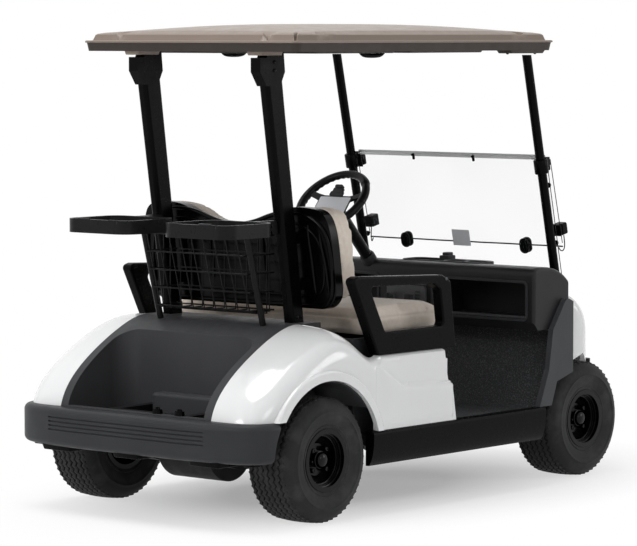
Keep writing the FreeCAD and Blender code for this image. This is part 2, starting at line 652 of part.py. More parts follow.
# Rocker panels: a rounded sill with a tucked lower edge
base_rear = at(D.rocker_rear_at)
sill_line = [
    (sill, D.rocker_bottom), (half_width - D.rocker_tuck, D.rocker_bottom),
    [(half_width, D.rocker_bottom + D.rocker_tuck), (half_width, D.rocker_top - D.rocker_width),
     (half_width, D.rocker_top - D.rocker_round)],
    (half_width - D.rocker_round * arc_share, D.rocker_top - D.rocker_round * arc_share,
     half_width - D.rocker_round, D.rocker_top),
    (sill, D.rocker_top),
]
rocker = prism("rocker", "YZ", [sill_line], base_rear, at(D.rocker_front_at))
keep(both_sides("rockers", rocker), "rocker_panels")

# Seat base: an open box with walls, notched for the rails
base_half, wall = D.base_width / 2, D.base_wall
base_outer = block("base_outer", (base_rear, floor_rear - D.seam), (-base_half, base_half), (floor_high, D.base_top))
base_inner = block("base_inner", (base_rear + wall, floor_rear - D.seam - wall), (-base_half + wall, base_half - wall),
                   (floor_high - wall, D.base_top + wall))
keep(cut("base_box", base_outer, [base_inner, frame]), "seat_base")

# Rear body: one tail curve is shared by the fenders and the bag well
tail_x, crown_x = at(D.fender_tail_at), at(D.crown_at)
tail_run, tail_rise = crown_x - tail_x, D.fender_top - D.fender_foot
tail_poles = [(0.037, 0.211), (0.245, 0.518), (0.6, 0.83), (0.851, 1), (1, 1)]
tail_stations = [
    (0, 0, 0.62, 0.38), (0.0632, 0.2071, 0.80, 0.70), (0.1711, 0.3915, 0.92, 0.88), (0.3197, 0.5677, 0.98, 0.97),
    (0.477, 0.7171, 1, 1), (0.6403, 0.8485, 1, 1), (0.8113, 0.9552, 1, 1), (1, 1, 1, 1),
]
fall_stations = [(0.375, 0.735, 0.9), (0.732, 0.143, 0.55), (1, 0, 0)]
fall_x = at(D.fall_at)
side_face = half_width - D.flare
body_low = D.rocker_top


def body_section(z, out, drop, inset):
    # A fender's section from behind, moved inwards by inset
    inner = well_half_width + inset
    width = (side_face - well_half_width) * out - inset * 2
    low = body_low - D.overrun if inset else body_low
    top, outer = z - inset, inner + width
    bend = [(inner + width * 0.48, top - drop * 0.04), (outer, top - drop * 0.15), (outer, top - drop)]
    return [(inner, low), (inner, top), bend, (outer, low)]


def fender_skin(tag, inset):
    # The fender's outer form, or its hollow
    sections = []
    for u, v, out, drop in tail_stations:
        place_x = tail_x + inset + (tail_run - inset) * u
        sections.append((place_x, body_section(D.fender_foot + tail_rise * v, out, D.shoulder_drop * drop, inset)))
    for u, v, drop in fall_stations:
        place_x = crown_x + (fall_x - crown_x) * u
        depth = D.side_drop + (D.shoulder_drop - D.side_drop) * drop
        z = D.side_top + (D.fender_top - D.side_top) * v
        sections.append((place_x, body_section(z, 1, depth, inset)))
    front = at(D.side_front_at)
    end = front - D.body_wall if inset else front + D.side_lean
    deep = inset * 2 if inset else inset
    panel = prism("panel_" + tag, "YZ", [body_section(D.side_top, 1, D.side_drop, deep)], fall_x, end)
    return [loft("tail_" + tag, sections), panel]


flare_out = D.arch_radius + D.flare_width
flare = prism("flare_disc", "XZ", [(axle_rear, wheel_centre, flare_out)], side_face - D.body_wall * 3, half_width)
rounded(flare, D.flare * 0.9, lambda e: near(e.BoundBox.YMin, half_width) and near(e.BoundBox.YMax, half_width))
fender_block = joined("fender_block", fender_skin("outer", 0))
side_front = at(D.side_front_at)
far = side_front + D.side_lean + D.overrun
nose_line = [(side_front, D.fender_top), (side_front, D.side_top)]
nose_line += shares([(0.35, 0.545), (0.69, 0.42)], side_front, D.side_lean, D.rocker_top, D.side_top - D.rocker_top)
nose_line += [(side_front + D.side_lean, body_low), (side_front + D.side_lean, body_low - D.overrun),
              (far, body_low - D.overrun), (far, D.fender_top)]
crease_x, crease_z = at(D.crease_rear_at), D.crease_height
crease_line = [
    (crease_x - D.side_depth, D.fender_top),
    [(crease_x - D.side_depth / 2, D.side_top), (crease_x, crease_z), (crease_x + D.side_lean, crease_z)],
    (side_front, crease_z + D.crease_depth), (far, crease_z + D.crease_depth), (far, D.fender_top),
]
inner_low, inner_high = well_half_width - D.overrun, half_width + D.overrun
fender_cuts = fender_skin("inner", D.body_wall) + [
    rod("arch", "y", (axle_rear, inner_low, wheel_centre), inner_high - inner_low, D.arch_radius),
    block("behind_arch", (tail, axle_rear), (inner_low, inner_high), (body_low - D.overrun, D.bumper_top + D.seam)),
    block("below_panel", (tail, far), (inner_low, inner_high), (-D.arch_radius, body_low)),
    block("inside_panel", (base_rear - D.overrun, far), (inner_low, half_width - D.side_depth),
          (body_low - D.overrun, D.fender_top + D.overrun)),
    prism("panel_nose", "XZ", [nose_line], inner_low, inner_high),
    prism("panel_crease", "XZ", [crease_line], side_face - D.crease_depth, inner_high),
]
fender = cut("fender", joined("fender_flared", [fender_block, flare]), fender_cuts)
keep(fender, "rear_fender_left")
keep(mirrored("fender_mirrored", fender), "rear_fender_right")

# Bag well: a deep recess with a rounded rim between the fenders, and the deck ahead of it
well_side = well_half_width - D.seam
well_low = D.bumper_top + D.seam
deck_front = at(D.deck_front_at)
well_back = at(D.well_back_at)
well_corner = D.well_corner


def well_line(rise):
    # The side outline of the well's moulding, raised by a seam for what stands on it
    curve = shares(tail_poles, tail_x, tail_run, D.fender_foot + rise, tail_rise)
    return [(tail_x, well_low), (tail_x, D.fender_foot + rise), curve, (deck_front, D.fender_top + rise),
            (deck_front, well_low)]


well = prism("well_moulding", "XZ", [well_line(0)], -well_side, well_side)
recess = well_half_width - D.well_rim
recess_plan = [
    (tail_x - D.overrun, -recess), (well_back - well_corner, -recess),
    (well_back - well_corner * arc_share, -recess + well_corner * arc_share, well_back, -recess + well_corner),
    (well_back, recess - well_corner),
    (well_back - well_corner * arc_share, recess - well_corner * arc_share, well_back - well_corner, recess),
    (tail_x - D.overrun, recess),
]
recess_cut = prism("well_recess", "XY", [recess_plan], D.well_floor, D.fender_top + D.overrun)
hollow_x = well_back + D.deck_sheet
hollow_line = [(hollow_x, well_low - D.overrun), (hollow_x, D.side_top), (crown_x, D.fender_top - D.deck_sheet * 1.5),
               (deck_front - D.deck_sheet, D.fender_top - D.deck_sheet * 1.5),
               (deck_front - D.deck_sheet, well_low - D.overrun)]
hollow_side = well_side - D.deck_sheet
hollow = prism("deck_hollow", "XZ", [hollow_line], -hollow_side, hollow_side)
hump_half = D.hump_width / 2
hump_front, hump_high = well_back + D.bearing_gap, D.well_floor + D.hump_height
hump = prism("well_hump", "XY", [[
    (hump_front, -hump_half), (hump_front, hump_half), (well_back - D.hump_depth + D.hump_round, hump_half),
    (well_back - D.hump_depth + D.hump_round * arc_share, hump_half - D.hump_round * arc_share,
     well_back - D.hump_depth, hump_half - D.hump_round),
    (well_back - D.hump_depth, -hump_half + D.hump_round),
    (well_back - D.hump_depth + D.hump_round * arc_share, -hump_half + D.hump_round * arc_share,
     well_back - D.hump_depth + D.hump_round, -hump_half),
]], D.well_floor - D.bearing_gap, hump_high)
rounded(hump, D.rim_round, lambda e: e.BoundBox.ZMin > float(hump_high - D.seam) and e.BoundBox.XMax < float(well_back))
well_cut = cut("well_hollowed", well, [recess_cut, hollow])
keep(joined("well_whole", [well_cut, hump]), "bag_well")

# Rear bumper: a deep band, curved in plan, that wraps both corners and has two pairs of grooves
bumper_tip = tail + D.bumper_side


def bumper_plan(inset):
    # The bumper's outline from above, with its rear face moved forwards by inset
    rear, side, flat = tail + inset, half_width - inset, D.bumper_flat / 2
    deep = rear + D.bumper_side
    left = [(rear, flat + D.bumper_depth), (rear + D.bumper_wall / 2, side - D.bumper_wall / 2),
            (rear + D.bumper_depth, side), (deep, side)]
    right = [(rear + D.bumper_depth, -side), (rear + D.bumper_wall / 2, -side + D.bumper_wall / 2),
             (rear, -flat - D.bumper_depth), (rear, -flat)]
    corner = half_width - D.bumper_wall * 2
    inner = tail + D.bumper_depth
    return [(rear, flat), left, (tail + D.bumper_side, half_width - D.bumper_wall),
            (inner, corner), (inner, -corner),
            (tail + D.bumper_side, -half_width + D.bumper_wall), (deep, -side), right]


bumper = prism("bumper_band", "XY", [bumper_plan(0)], D.bumper_bottom, D.bumper_top)
outer_x = float(tail + D.bumper_depth - D.bearing_gap)
rounded(bumper, D.bumper_round, lambda e: e.BoundBox.XMin < outer_x and e.BoundBox.ZLength < 1)
slots = []
for pair in (0, 1):
    for step in (0, 1):
        z = D.groove_low + (D.groove_pitch * 3 * pair + (D.groove + D.groove_pitch) * step)
        slots.append(block("groove_%d%d" % (pair, step), (tail - D.overrun, tail + D.bumper_wall),
                           (-D.groove_length / 2, D.groove_length / 2), (z, z + D.groove)))
core = prism("bumper_core", "XY", [bumper_plan(D.groove)], D.bumper_bottom, D.bumper_top)
grooves = cut("grooves", joined("groove_slots", slots), [core])
arch_space = rod("arch_space", "y", (axle_rear, -half_width - D.overrun, wheel_centre),
                 D.overall_width + D.overrun * 2, D.arch_radius + D.rocker_round)
keep(cut("bumper", bumper, [grooves, arch_space]), "rear_bumper")

# Wheel liners: half rings inside the rear arches
liner_low, liner_high = well_half_width + D.body_wall, side_face - D.body_wall
liner_radius = D.arch_radius - D.seam
liner_ring = prism("liner_ring", "XZ", [(axle_rear, wheel_centre, liner_radius),
                                        (axle_rear, wheel_centre, liner_radius - D.liner_sheet)],
                   liner_low, liner_high)
liner_keep = block("liner_keep", (axle_rear - liner_radius, axle_rear + liner_radius), (liner_low, liner_high),
                   (D.liner_front_low, D.fender_top))
keep(both_sides("liners", shared("liner", [liner_ring, liner_keep])), "wheel_liners")

# Dashboard: a crowned moulding with two open bins and two ringed cup holders
dash_rear, dash_front = at(D.dash_rear_at), at(D.dash_front_at)
dash_low, dash_top, dash_edge = D.dash_lip, D.dash_top, floor_edge
dash_line = [
    (dash_rear + D.dash_round, dash_low), (dash_rear, D.bin_bottom - D.dash_round / 2),
    (dash_rear, D.bin_top + D.dash_round / 2),
    [(dash_rear, dash_top), (dash_rear + D.dash_round, dash_top + D.cup_ring_height),
     (dash_front - D.bin_bevel, dash_top), (dash_front, dash_top - D.dash_round * 2)],
    (dash_front, D.cowl_top - D.bin_bevel), (firewall_top + D.floor_sheet, dash_low),
]
dash = prism("dash_moulding", "XZ", [dash_line], -dash_edge, dash_edge)
edge_y, bin_z = float(dash_edge - D.bearing_gap), float(D.bin_top)
rounded(dash, D.rocker_round, lambda e: abs(e.BoundBox.Center.y) > edge_y and e.BoundBox.ZMax > bin_z + 1
        and e.BoundBox.YLength < 1 and e.BoundBox.XLength > 1 and e.Curve.TypeId != "Part::GeomLine")
bin_zs = (D.bin_bottom, D.bin_top)
for name, ys in (("right", (-D.bin_outer, -D.bin_inner)), ("left", (D.left_bin_inner, D.bin_outer))):
    pocket(dash, "YZ", [round_rectangle(ys, bin_zs, D.rocker_round)], dash_rear - D.overrun, dash_rear + D.bin_depth)
cup_x = at(D.cup_at)
cups = [(cup_x, D.cup_y), (cup_x, D.cup_y - D.cup_pitch)]
cup_low, cup_high = dash_top - D.cup_depth, dash_top + D.cup_ring_height
cup_rings = prism("cup_rings", "XY", [(x, y, D.cup_diameter / 2 + D.cup_ring) for x, y in cups],
                  dash_top - D.dash_round, cup_high)
cup_bores = prism("cup_bores", "XY", [(x, y, D.cup_diameter / 2) for x, y in cups], cup_low, cup_high + D.overrun)
dash_whole = cut("dash_whole", joined("dash_ringed", [dash, cup_rings]), [cup_bores])
keep(dash_whole, "dashboard")

# Control panel: a raised plate with a knob, a rocker switch and two vents
panel = prism("panel_plate", "YZ", [round_rectangle((D.panel_right, D.panel_left), (D.panel_bottom, D.panel_top),
                                                    D.rocker_round)],
              dash_rear - D.panel_sheet, dash_rear - D.seam)
panel_middle = (D.panel_bottom + D.panel_top) / 2
knob_x = dash_rear - D.panel_sheet - D.knob_height
knob_y = D.panel_left - D.knob_diameter
switch_y = D.panel_right + D.vent_width * 2
pieces = [
    panel,
    rod("knob", "x", (knob_x, knob_y, panel_middle), D.knob_height + D.panel_sheet / 2, D.knob_diameter / 2),
    block("switch", (dash_rear - D.panel_sheet * 1.5, dash_rear - D.panel_sheet / 2),
          (switch_y, switch_y + D.vent_width), (panel_middle - D.vent_width / 2, panel_middle + D.vent_width / 2)),
]
keep(joined("panel_whole", pieces), "control_panel")

# Front cowl: a crowned hollow nose with open wheel arches
cowl_rear = dash_front + D.seam
cowl_nose = tip - D.front_bumper_wrap
cowl_run = cowl_nose - cowl_rear
# stations along the nose: share of the run, half width, top height, and how low the corner reaches
cowl_stations = [
    (0, D.cowl_width / 2, D.cowl_top, 0.8), (0.16, half_width - D.cowl_wall, D.cowl_top - D.cowl_setback, 1.3),
    (0.38, half_width - D.cowl_wall, D.cowl_top - D.cowl_corner, 1.5),
    (0.62, half_width - D.cowl_setback * 2, D.side_top, 1.3),
    (0.84, half_width - D.cowl_corner * 1.3, D.cowl_tip_top + D.cowl_corner / 2, 0.6),
    (1, D.cowl_tip_width / 2, D.cowl_tip_top, 0.35),
]


def cowl_section(half, top, corner, inset):
    side, high = half - inset, top - inset
    low = D.cowl_bottom - D.overrun if inset else D.cowl_bottom
    arc_low = high - D.cowl_corner * corner
    bend = [(-side, high - D.cowl_wall), (-side * 0.6, high + D.cowl_wall), (side * 0.6, high + D.cowl_wall),
            (side, high - D.cowl_wall), (side, arc_low)]
    return [(-side, low), (-side, arc_low), bend, (side, low)]


def cowl_skin(tag, inset):
    # The cowl's outer form, or its hollow
    sections = []
    for share, half, top, corner in cowl_stations:
        x = cowl_rear + inset + (cowl_run - inset * 5) * share
        sections.append((x, cowl_section(half, top, corner, inset)))
    return loft("cowl_" + tag, sections, bool(inset))


cowl_block = cowl_skin("outer", 0)
cowl_hollow = cowl_skin("inner", D.cowl_wall)
front_arch = rod("front_arch", "y", (axle_front, -half_width - D.overrun, wheel_centre),
                 D.overall_width + D.overrun * 2, D.arch_radius)
keep(cut("cowl", cowl_block, [cowl_hollow, front_arch]), "front_cowl")

# Front bumper: a block on the rails with a thin wing in front of each wheel
core_half, wing_half = D.front_bumper_width / 2, D.front_bumper_width
bumper_in, wing_in = tip - D.front_bumper_depth, tip - D.front_bumper_wrap
front_plan = [
    (bumper_in, -core_half), (bumper_in, core_half), (wing_in, core_half), (wing_in, wing_half),
    [(tip - D.front_bumper_wrap / 3, wing_half), (tip, wing_half - D.front_bumper_wrap),
     (tip, wing_half - D.cowl_corner)],
    (tip, -wing_half + D.cowl_corner),
    [(tip, -wing_half + D.front_bumper_wrap), (tip - D.front_bumper_wrap / 3, -wing_half), (wing_in, -wing_half)],
    (wing_in, -core_half),
]
keep(prism("front_band", "XY", [front_plan], D.front_bumper_bottom, D.cowl_bottom - D.seam), "front_bumper")

# Trims between dashboard and cowl
trim_points = [(0.045, 0), (0.303, 0.334), (0.419, 0.709), (0.816, 1), (1, 0.956), (1, 0.29), (0.535, 0.218),
               (0.383, 0)]
trim = prism("trim", "XZ", [shares(trim_points, dash_rear, cowl_rear - dash_rear, D.rocker_top,
                                   D.trim_top - D.rocker_top)], sill, sill + D.trim_width)
rounded(trim, D.dash_round, lambda e: runs_along(e, Y) and near(e.BoundBox.ZMax, D.trim_top))
keep(both_sides("trims", trim), "cowl_trims")

# Seat bottom: a rounded pad that lifts about its rear edge
seat_low = D.base_top + D.seam
seat_rear = at(D.seat_hinge_at)
seat_half = arm_inner - D.seat_side_gap
seat_line = rectangle((seat_rear, seat_rear + D.seat_length), (seat_low, D.seat_top))
seat = prism("seat_pad", "XZ", [seat_line], -seat_half, seat_half)
seat_floor = float(seat_low + D.seam)
rounded(seat, D.seat_round, lambda e: e.BoundBox.ZMin > seat_floor or runs_along(e, Z))
keep(seat, "seat_bottom")

# Seat back: two humps seen from behind, leaned back, with a thin shell behind the pad
back_half = arm_inner - D.back_side_gap
back_slope = call("tan", math.tan(math.radians(float(D.back_angle))), D.back_angle)
shell_front = at(D.shell_front_at)
back_high = D.back_hump + D.overrun


def back_outline(inset, foot):
    half, hump, valley = back_half - inset, D.back_hump - inset, D.back_valley - inset
    corner, bottom = D.well_corner, D.overrun
    swell = hump + bottom * 0.6
    right = [(-half * 0.34, valley), (-half * 0.48, swell), (-half * 0.86, swell), (-half, hump - corner * 0.2),
             (-half, hump - corner * 1.9)]
    left = [(half, hump - corner * 0.2), (half * 0.86, swell), (half * 0.48, swell), (half * 0.34, valley),
            (0, valley)]
    return [(0, valley), right, (-half, foot + corner), (-half + corner * arc_share, foot + corner * arc_share,
                                                         -half + corner, foot),
            (half - corner, foot), (half - corner * arc_share, foot + corner * arc_share, half, foot + corner),
            (half, hump - corner * 1.9), left]


def leaned(tag, front_x, depth, inset, foot):
    # A slab of the seat back between two leaned planes, with front_x its front face at the shell's foot
    def x_at(z):
        return front_x - back_slope * (z - D.back_foot)

    slab_line = [(x_at(foot) - depth, foot), (x_at(foot), foot), (x_at(back_high), back_high),
                 (x_at(back_high) - depth, back_high)]
    slab = prism(tag + "_slab", "XZ", [slab_line], -half_width, half_width)
    outline = prism(tag + "_outline", "YZ", [back_outline(inset, foot)], tail, shell_front + D.base_width)
    return shared(tag + "_pad", [slab, outline])


back_foot_high = D.back_foot + D.back_rise
back_pad = leaned("back", shell_front + D.back_thickness, D.back_thickness - D.seam, D.back_inset, back_foot_high)
keep(back_pad, "seat_back")

# Rear struts: wide oval tubes with a stepped bracket under the roof
strut_half = D.strut_depth / 2
strut_low, strut_high = D.fender_top + D.seam, roof_low - D.strut_bracket
foot_x, top_x = at(D.strut_foot_at), at(D.strut_top_at)
strut_ys = (D.strut_y - D.strut_width / 2, D.strut_y + D.strut_width / 2)
foot_half = strut_half * 0.8
strut_line = [(foot_x - foot_half, strut_low), (foot_x + foot_half, strut_low), (top_x + strut_half, strut_high),
              (top_x - strut_half, strut_high)]
tube = prism("strut_tube", "XZ", [strut_line], *strut_ys)
long_edge = float(strut_high - strut_low) * 0.9
rounded(tube, D.strut_round, lambda e: e.Length > long_edge)
roof_seat = roof_low - D.seam
reach = D.bracket_reach
bracket_line = [
    (top_x + strut_half - reach / 2, strut_high - reach), (top_x + strut_half + reach / 4, strut_high + reach / 2),
    (top_x + strut_half, roof_seat), (top_x - strut_half + reach / 2, roof_seat),
    (top_x - strut_half, roof_seat - reach), (top_x - strut_half - reach, roof_seat - reach),
    (top_x - strut_half - reach, strut_high + reach / 2), (top_x - strut_half, strut_high - reach),
]
bracket = prism("strut_bracket", "XZ", [bracket_line], *strut_ys)
strut = joined("strut", [tube, bracket])
keep(both_sides("struts", strut), "rear_struts")

# Seat back shell: bolted to both struts through two bosses each
shell_rear = shell_front - D.shell_thickness
shell_slab = leaned("shell", shell_front, D.shell_thickness, 0, D.back_foot)
bosses = []
half_boss = D.boss_width / 2
strut_slope = (top_x - foot_x) / (strut_high - strut_low)
for name, z in (("low", D.boss_low), ("high", D.boss_high)):
    x = shell_rear - back_slope * (z - D.back_foot) + D.shell_thickness / 2
    boss = block("boss_" + name, (foot_x + strut_slope * (z - strut_low), x),
                 (D.strut_y - half_boss, D.strut_y + half_boss), (z - half_boss, z + half_boss))
    bosses += [boss, mirrored("boss_%s_right" % name, boss)]
struts_apart = together("struts_apart", [strut, mirrored("strut_again", strut)])
shell_whole = joined("shell_bossed", [shell_slab] + bosses)
keep(cut("shell", shell_whole, [struts_apart]), "seat_back_shell")

# Armrests: a bevelled loop on each side that stands on the fender
arm_rear, arm_front = at(D.armrest_rear_at), at(D.armrest_front_at)
arm_ys = (arm_inner, arm_inner + D.armrest_thickness)
arm_foot = D.armrest_foot - D.overrun
arm_rise = D.armrest_top - D.armrest_foot
outer_points = [(0, 0.963), (0.056, 1), (0.869, 0.926), (0.949, 0.83)]
inner_points = [(0.312, 0.232), (0.163, 0.852), (0.777, 0.815), (0.841, 0.734), (0.877, 0.232)]
outer = shares(outer_points, arm_rear, arm_front - arm_rear, D.armrest_foot, arm_rise)
inner = shares(inner_points, arm_rear, arm_front - arm_rear, D.armrest_foot, arm_rise)
outer += [(arm_front, arm_foot), (arm_rear + (arm_front - arm_rear) * 0.239, arm_foot)]
loop = prism("armrest_loop", "XZ", [outer, inner], *arm_ys)
arm_bend = float(D.armrest_foot + D.overrun)
rounded(loop, D.strut_round, lambda e: runs_along(e, Y) and e.BoundBox.ZMin > float(D.armrest_foot))
rounded(loop, D.armrest_round, lambda e: e.BoundBox.YLength < float(D.seam) and e.BoundBox.ZMax > arm_bend)
armrest = cut("armrest", loop, [fender_block])
keep(both_sides("armrest_pair", armrest), "armrests")

# Roof: a lip all round, a crowned top, a hollow underside, and bosses over the posts and struts
roof_rear, roof_front = at(D.roof_rear_at), at(D.roof_front_at)
roof_half = D.roof_width / 2
lip_high = roof_low + D.roof_lip


def roof_plan(inset, corner):
    return round_rectangle((roof_rear + inset, roof_front - inset), (-roof_half + inset, roof_half - inset), corner)


def lofted_up(name, levels):
    # A smooth body through outlines seen from above, given as pairs of height and outline
    body = doc.addObject("PartDesign::Body", name)
    sketches = [sketch_on(body, "XY", [outline], height) for height, outline in levels]
    skin = body.newObject("PartDesign::AdditiveLoft", name + "_loft")
    skin.Profile = sketches[0]
    skin.Sections = sketches[1:]
    return body


roof_lip = prism("roof_lip", "XY", [roof_plan(0, D.roof_corner)], roof_low, lip_high)
crown_rise = D.overall_height - lip_high
roof_crown = lofted_up("roof_crown", [
    (lip_high - D.seam, roof_plan(D.roof_inset, D.roof_corner)),
    (lip_high + crown_rise * 0.5, roof_plan(D.roof_inset * 1.6, D.roof_corner)),
    (D.overall_height, roof_plan(D.roof_inset * 4, D.roof_corner)),
])
roof_hollow = lofted_up("roof_hollow", [
    (roof_low - D.overrun, roof_plan(D.roof_inset + D.roof_wall, D.roof_corner)),
    (lip_high + crown_rise * 0.3, roof_plan(D.roof_inset * 1.6 + D.roof_wall, D.roof_corner)),
    (D.overall_height - D.roof_wall, roof_plan(D.roof_inset * 4 + D.roof_wall, D.roof_corner)),
])
post_foot_x, post_top_x = at(D.post_foot_at), at(D.post_top_at)
post_slope = (post_top_x - post_foot_x) / (roof_low - D.post_foot)
plate_low = roof_low - D.post_plate_height
plate_x = post_top_x - D.post_plate_length / 2
plate = block("post_plate", (plate_x, plate_x + D.post_plate_length),
              (D.post_y - D.post_plate_width / 2, D.post_y + D.post_plate_width / 2), (plate_low, lip_high))
roof_shell = cut("roof_shell", joined("roof_outer", [roof_lip, roof_crown]), [roof_hollow])
bearer_ys = (D.strut_y - D.strut_width, D.strut_y + D.strut_width)
bearer = block("strut_bearer", (roof_rear + D.roof_wall, top_x + strut_half), bearer_ys, (roof_low, lip_high))
roof_parts = [roof_shell, plate, mirrored("post_plate_right", plate), bearer, mirrored("bearer_right", bearer)]
roof = keep(joined("roof_whole", roof_parts), "roof")


# Front posts: straight tubes from the cowl up to the roof's plates
def post_x(z):
    return post_foot_x + post_slope * (z - D.post_foot)


post_low = D.post_foot - D.post_sink
post = slanted_rod("post_tube", (post_x(post_low), D.post_y, post_low), (post_x(roof_low), D.post_y, roof_low),
                   D.post_diameter / 2)
above_post = block("above_post", (plate_x - D.post_plate_length, plate_x + D.post_plate_length * 2),
                   (D.post_y - D.post_plate_width, D.post_y + D.post_plate_width),
                   (plate_low - D.seam, D.overall_height))
keep(both_sides("posts", cut("post", post, [cowl_block, above_post])), "front_struts")

# Roof handles: a flat strap bent into a grip on each side
grip_rear = at(D.handle_at) - D.handle_length / 2
grip_front = grip_rear + D.handle_length
grip_low = roof_low - D.handle_drop / 2
grip_high = D.overall_height - D.roof_wall - D.seam
strap, bend_out = D.handle_rod, D.handle_bend
bend_in = bend_out - strap
near_out, near_in = bend_out * arc_share, bend_in * arc_share
grip_line = [
    (grip_rear, grip_high), (grip_rear, grip_low + bend_out),
    (grip_rear + near_out, grip_low + near_out, grip_rear + bend_out, grip_low), (grip_front - bend_out, grip_low),
    (grip_front - near_out, grip_low + near_out, grip_front, grip_low + bend_out), (grip_front, grip_high),
    (grip_front - strap, grip_high), (grip_front - strap, grip_low + bend_out),
    (grip_front - strap - near_in, grip_low + strap + near_in, grip_front - bend_out, grip_low + strap),
    (grip_rear + bend_out, grip_low + strap),
    (grip_rear + strap + near_in, grip_low + strap + near_in, grip_rear + strap, grip_low + bend_out),
    (grip_rear + strap, grip_high),
]
grip = prism("grip", "XZ", [grip_line], D.handle_y - strap / 2, D.handle_y + strap / 2)
keep(both_sides("grips", grip), "roof_handles")


# Screen: a lower pane in front of the posts and the upper pane folded down over it
def pane(name, near_x, low, high, lean_out):
    bottom, top, sheet_x = post_x(low) + near_x + lean_out, post_x(high) + near_x, D.pane_thickness
    line = [(bottom, low), (top, high), (top + sheet_x, high), (bottom + sheet_x, low)]
    body = prism(name, "XZ", [line], -D.pane_width / 2, D.pane_width / 2)
    return rounded(body, D.pane_corner, lambda e: e.Length < float(D.pane_thickness + D.seam))


keep(pane("pane_low", D.pane_offset, D.pane_foot, D.pane_top, 0), "windshield_lower")
keep(pane("pane_folded", D.pane_offset + D.fold_gap, D.fold_foot, D.pane_top + D.fold_rise, D.fold_lean),
     "windshield_upper")


# Screen clips: a clamp at the hinge line on each post and a bridge to the folded pane
def clip(name, near_x, far_x, low):
    z = D.pane_top
    line = [(post_x(low) + near_x, low), (post_x(low) + far_x, low), (post_x(z) + far_x, z), (post_x(z) + near_x, z)]
    return prism(name, "XZ", [line], D.pane_width / 2 - D.clip_width, D.pane_width / 2)


post_lean = lean(post_foot_x - post_top_x, roof_low - D.post_foot)
clamp = clip("clamp", D.post_diameter / 2 / cosine(post_lean) + D.seam, D.pane_offset, D.pane_top - D.clip_height)
bridge = clip("bridge", D.pane_offset + D.pane_thickness, D.pane_offset + D.fold_gap, D.pane_top - D.clip_height / 2)
keep(both_sides("clips", together("clip", [clamp, bridge])), "windshield_clips")

# Bag rack: a flat band loop on each side, the legs that carry it and an arm to the strut
rack_rear, rack_front = at(D.rack_rear_at), at(D.rack_front_at)
rack_high = D.rack_low + D.rack_height
loop_outer = round_rectangle((rack_rear, rack_front), (D.rack_inner, D.rack_outer), D.rack_corner)
loop_inner = round_rectangle((rack_rear + D.rack_band, rack_front - D.rack_band),
                             (D.rack_inner + D.rack_band, D.rack_outer - D.rack_band), D.rack_corner - D.rack_band)
band = prism("rack_loop", "XY", [loop_outer, loop_inner], D.rack_low, rack_high)
leg_foot_x, leg_top_x = at(D.leg_foot_at), rack_front - D.rack_band / 2
leg_top = D.rack_low + D.rack_band
leg = slanted_rod("rack_leg", (leg_foot_x, D.leg_y, D.leg_foot), (leg_top_x, D.leg_y, leg_top), D.leg_diameter / 2)
link = block("rack_link", (leg_top_x, foot_x + strut_slope * (D.rack_low - strut_low)),
             (strut_ys[0], D.strut_y), (D.rack_low, rack_high))
well_space = prism("well_space", "XZ", [well_line(D.seam)], -well_side, well_side)
rack_side = cut("rack_side", joined("rack_joined", [band, leg, link]), [strut, well_space])
keep(both_sides("rack_pair", rack_side), "bag_rack")

# Sweater basket: rings and upright wires with flat sides, between the rack legs
thick, thin = D.wire / 2, D.thin_wire / 2
basket_half = D.leg_y - D.leg_diameter / 2 - thick - D.seam
basket_front = at(D.basket_front_at)
leg_slope = (leg_top_x - leg_foot_x) / (leg_top - D.leg_foot)


def basket_back(z):
    return leg_foot_x + leg_slope * (z - D.leg_foot) - D.basket_overhang


def wire(name, way, start, length, radius):
    # A straight wire with eight sides
    obj = doc.addObject("Part::Prism", name)
    obj.Polygon = 8
    bind(obj, "Circumradius", radius)
    bind(obj, "Height", length)
    turns = {"x": Rotation(Y, 90), "y": Rotation(X, -90), "z": Rotation()}
    return place(obj, *start, turns[way])


wires = []
ring_low = D.basket_low + D.wire
rows, columns = int(float(D.basket_rows)), int(float(D.basket_columns))
for row in range(rows):
    z = ring_low + (D.basket_top - ring_low) * (row / (rows - 1))
    back_x = basket_back(z)
    side_run = basket_front - back_x + thick * 2
    wires += [
        wire("ring_back_%d" % row, "y", (back_x, -basket_half - thick, z), basket_half * 2 + thick * 2, thick),
        wire("ring_front_%d" % row, "y", (basket_front, -basket_half - thick, z), basket_half * 2 + thick * 2, thick),
        wire("ring_left_%d" % row, "x", (back_x - thick, basket_half, z), side_run, thick),
        wire("ring_right_%d" % row, "x", (back_x - thick, -basket_half, z), side_run, thick),
    ]
wire_top, wire_low = D.basket_top + D.wire, D.basket_low
foot_back, tip_back = basket_back(wire_low), basket_back(wire_top)
lean_angle = lean(tip_back - foot_back, wire_top - wire_low)
lean_length = root((tip_back - foot_back) * (tip_back - foot_back) + (wire_top - wire_low) * (wire_top - wire_low))
for column in range(columns):
    y = (basket_half - D.wire * 3) * (2 * column / (columns - 1) - 1)
    slant = wire("upright_back_%d" % column, "z", (foot_back, y, wire_low), lean_length, thin)
    slant.Placement = Placement(slant.Placement.Base, Rotation(Y, float(lean_angle)))
    bind(slant, "Placement.Rotation.Angle", lean_angle)
    wires += [
        slant,
        wire("runner_%d" % column, "x", (foot_back - thin, y, wire_low), basket_front - foot_back + thin * 2, thin),
        wire("upright_front_%d" % column, "z", (basket_front, y, wire_low), wire_top - wire_low, thin),
    ]
runners = int(float(D.basket_runners))
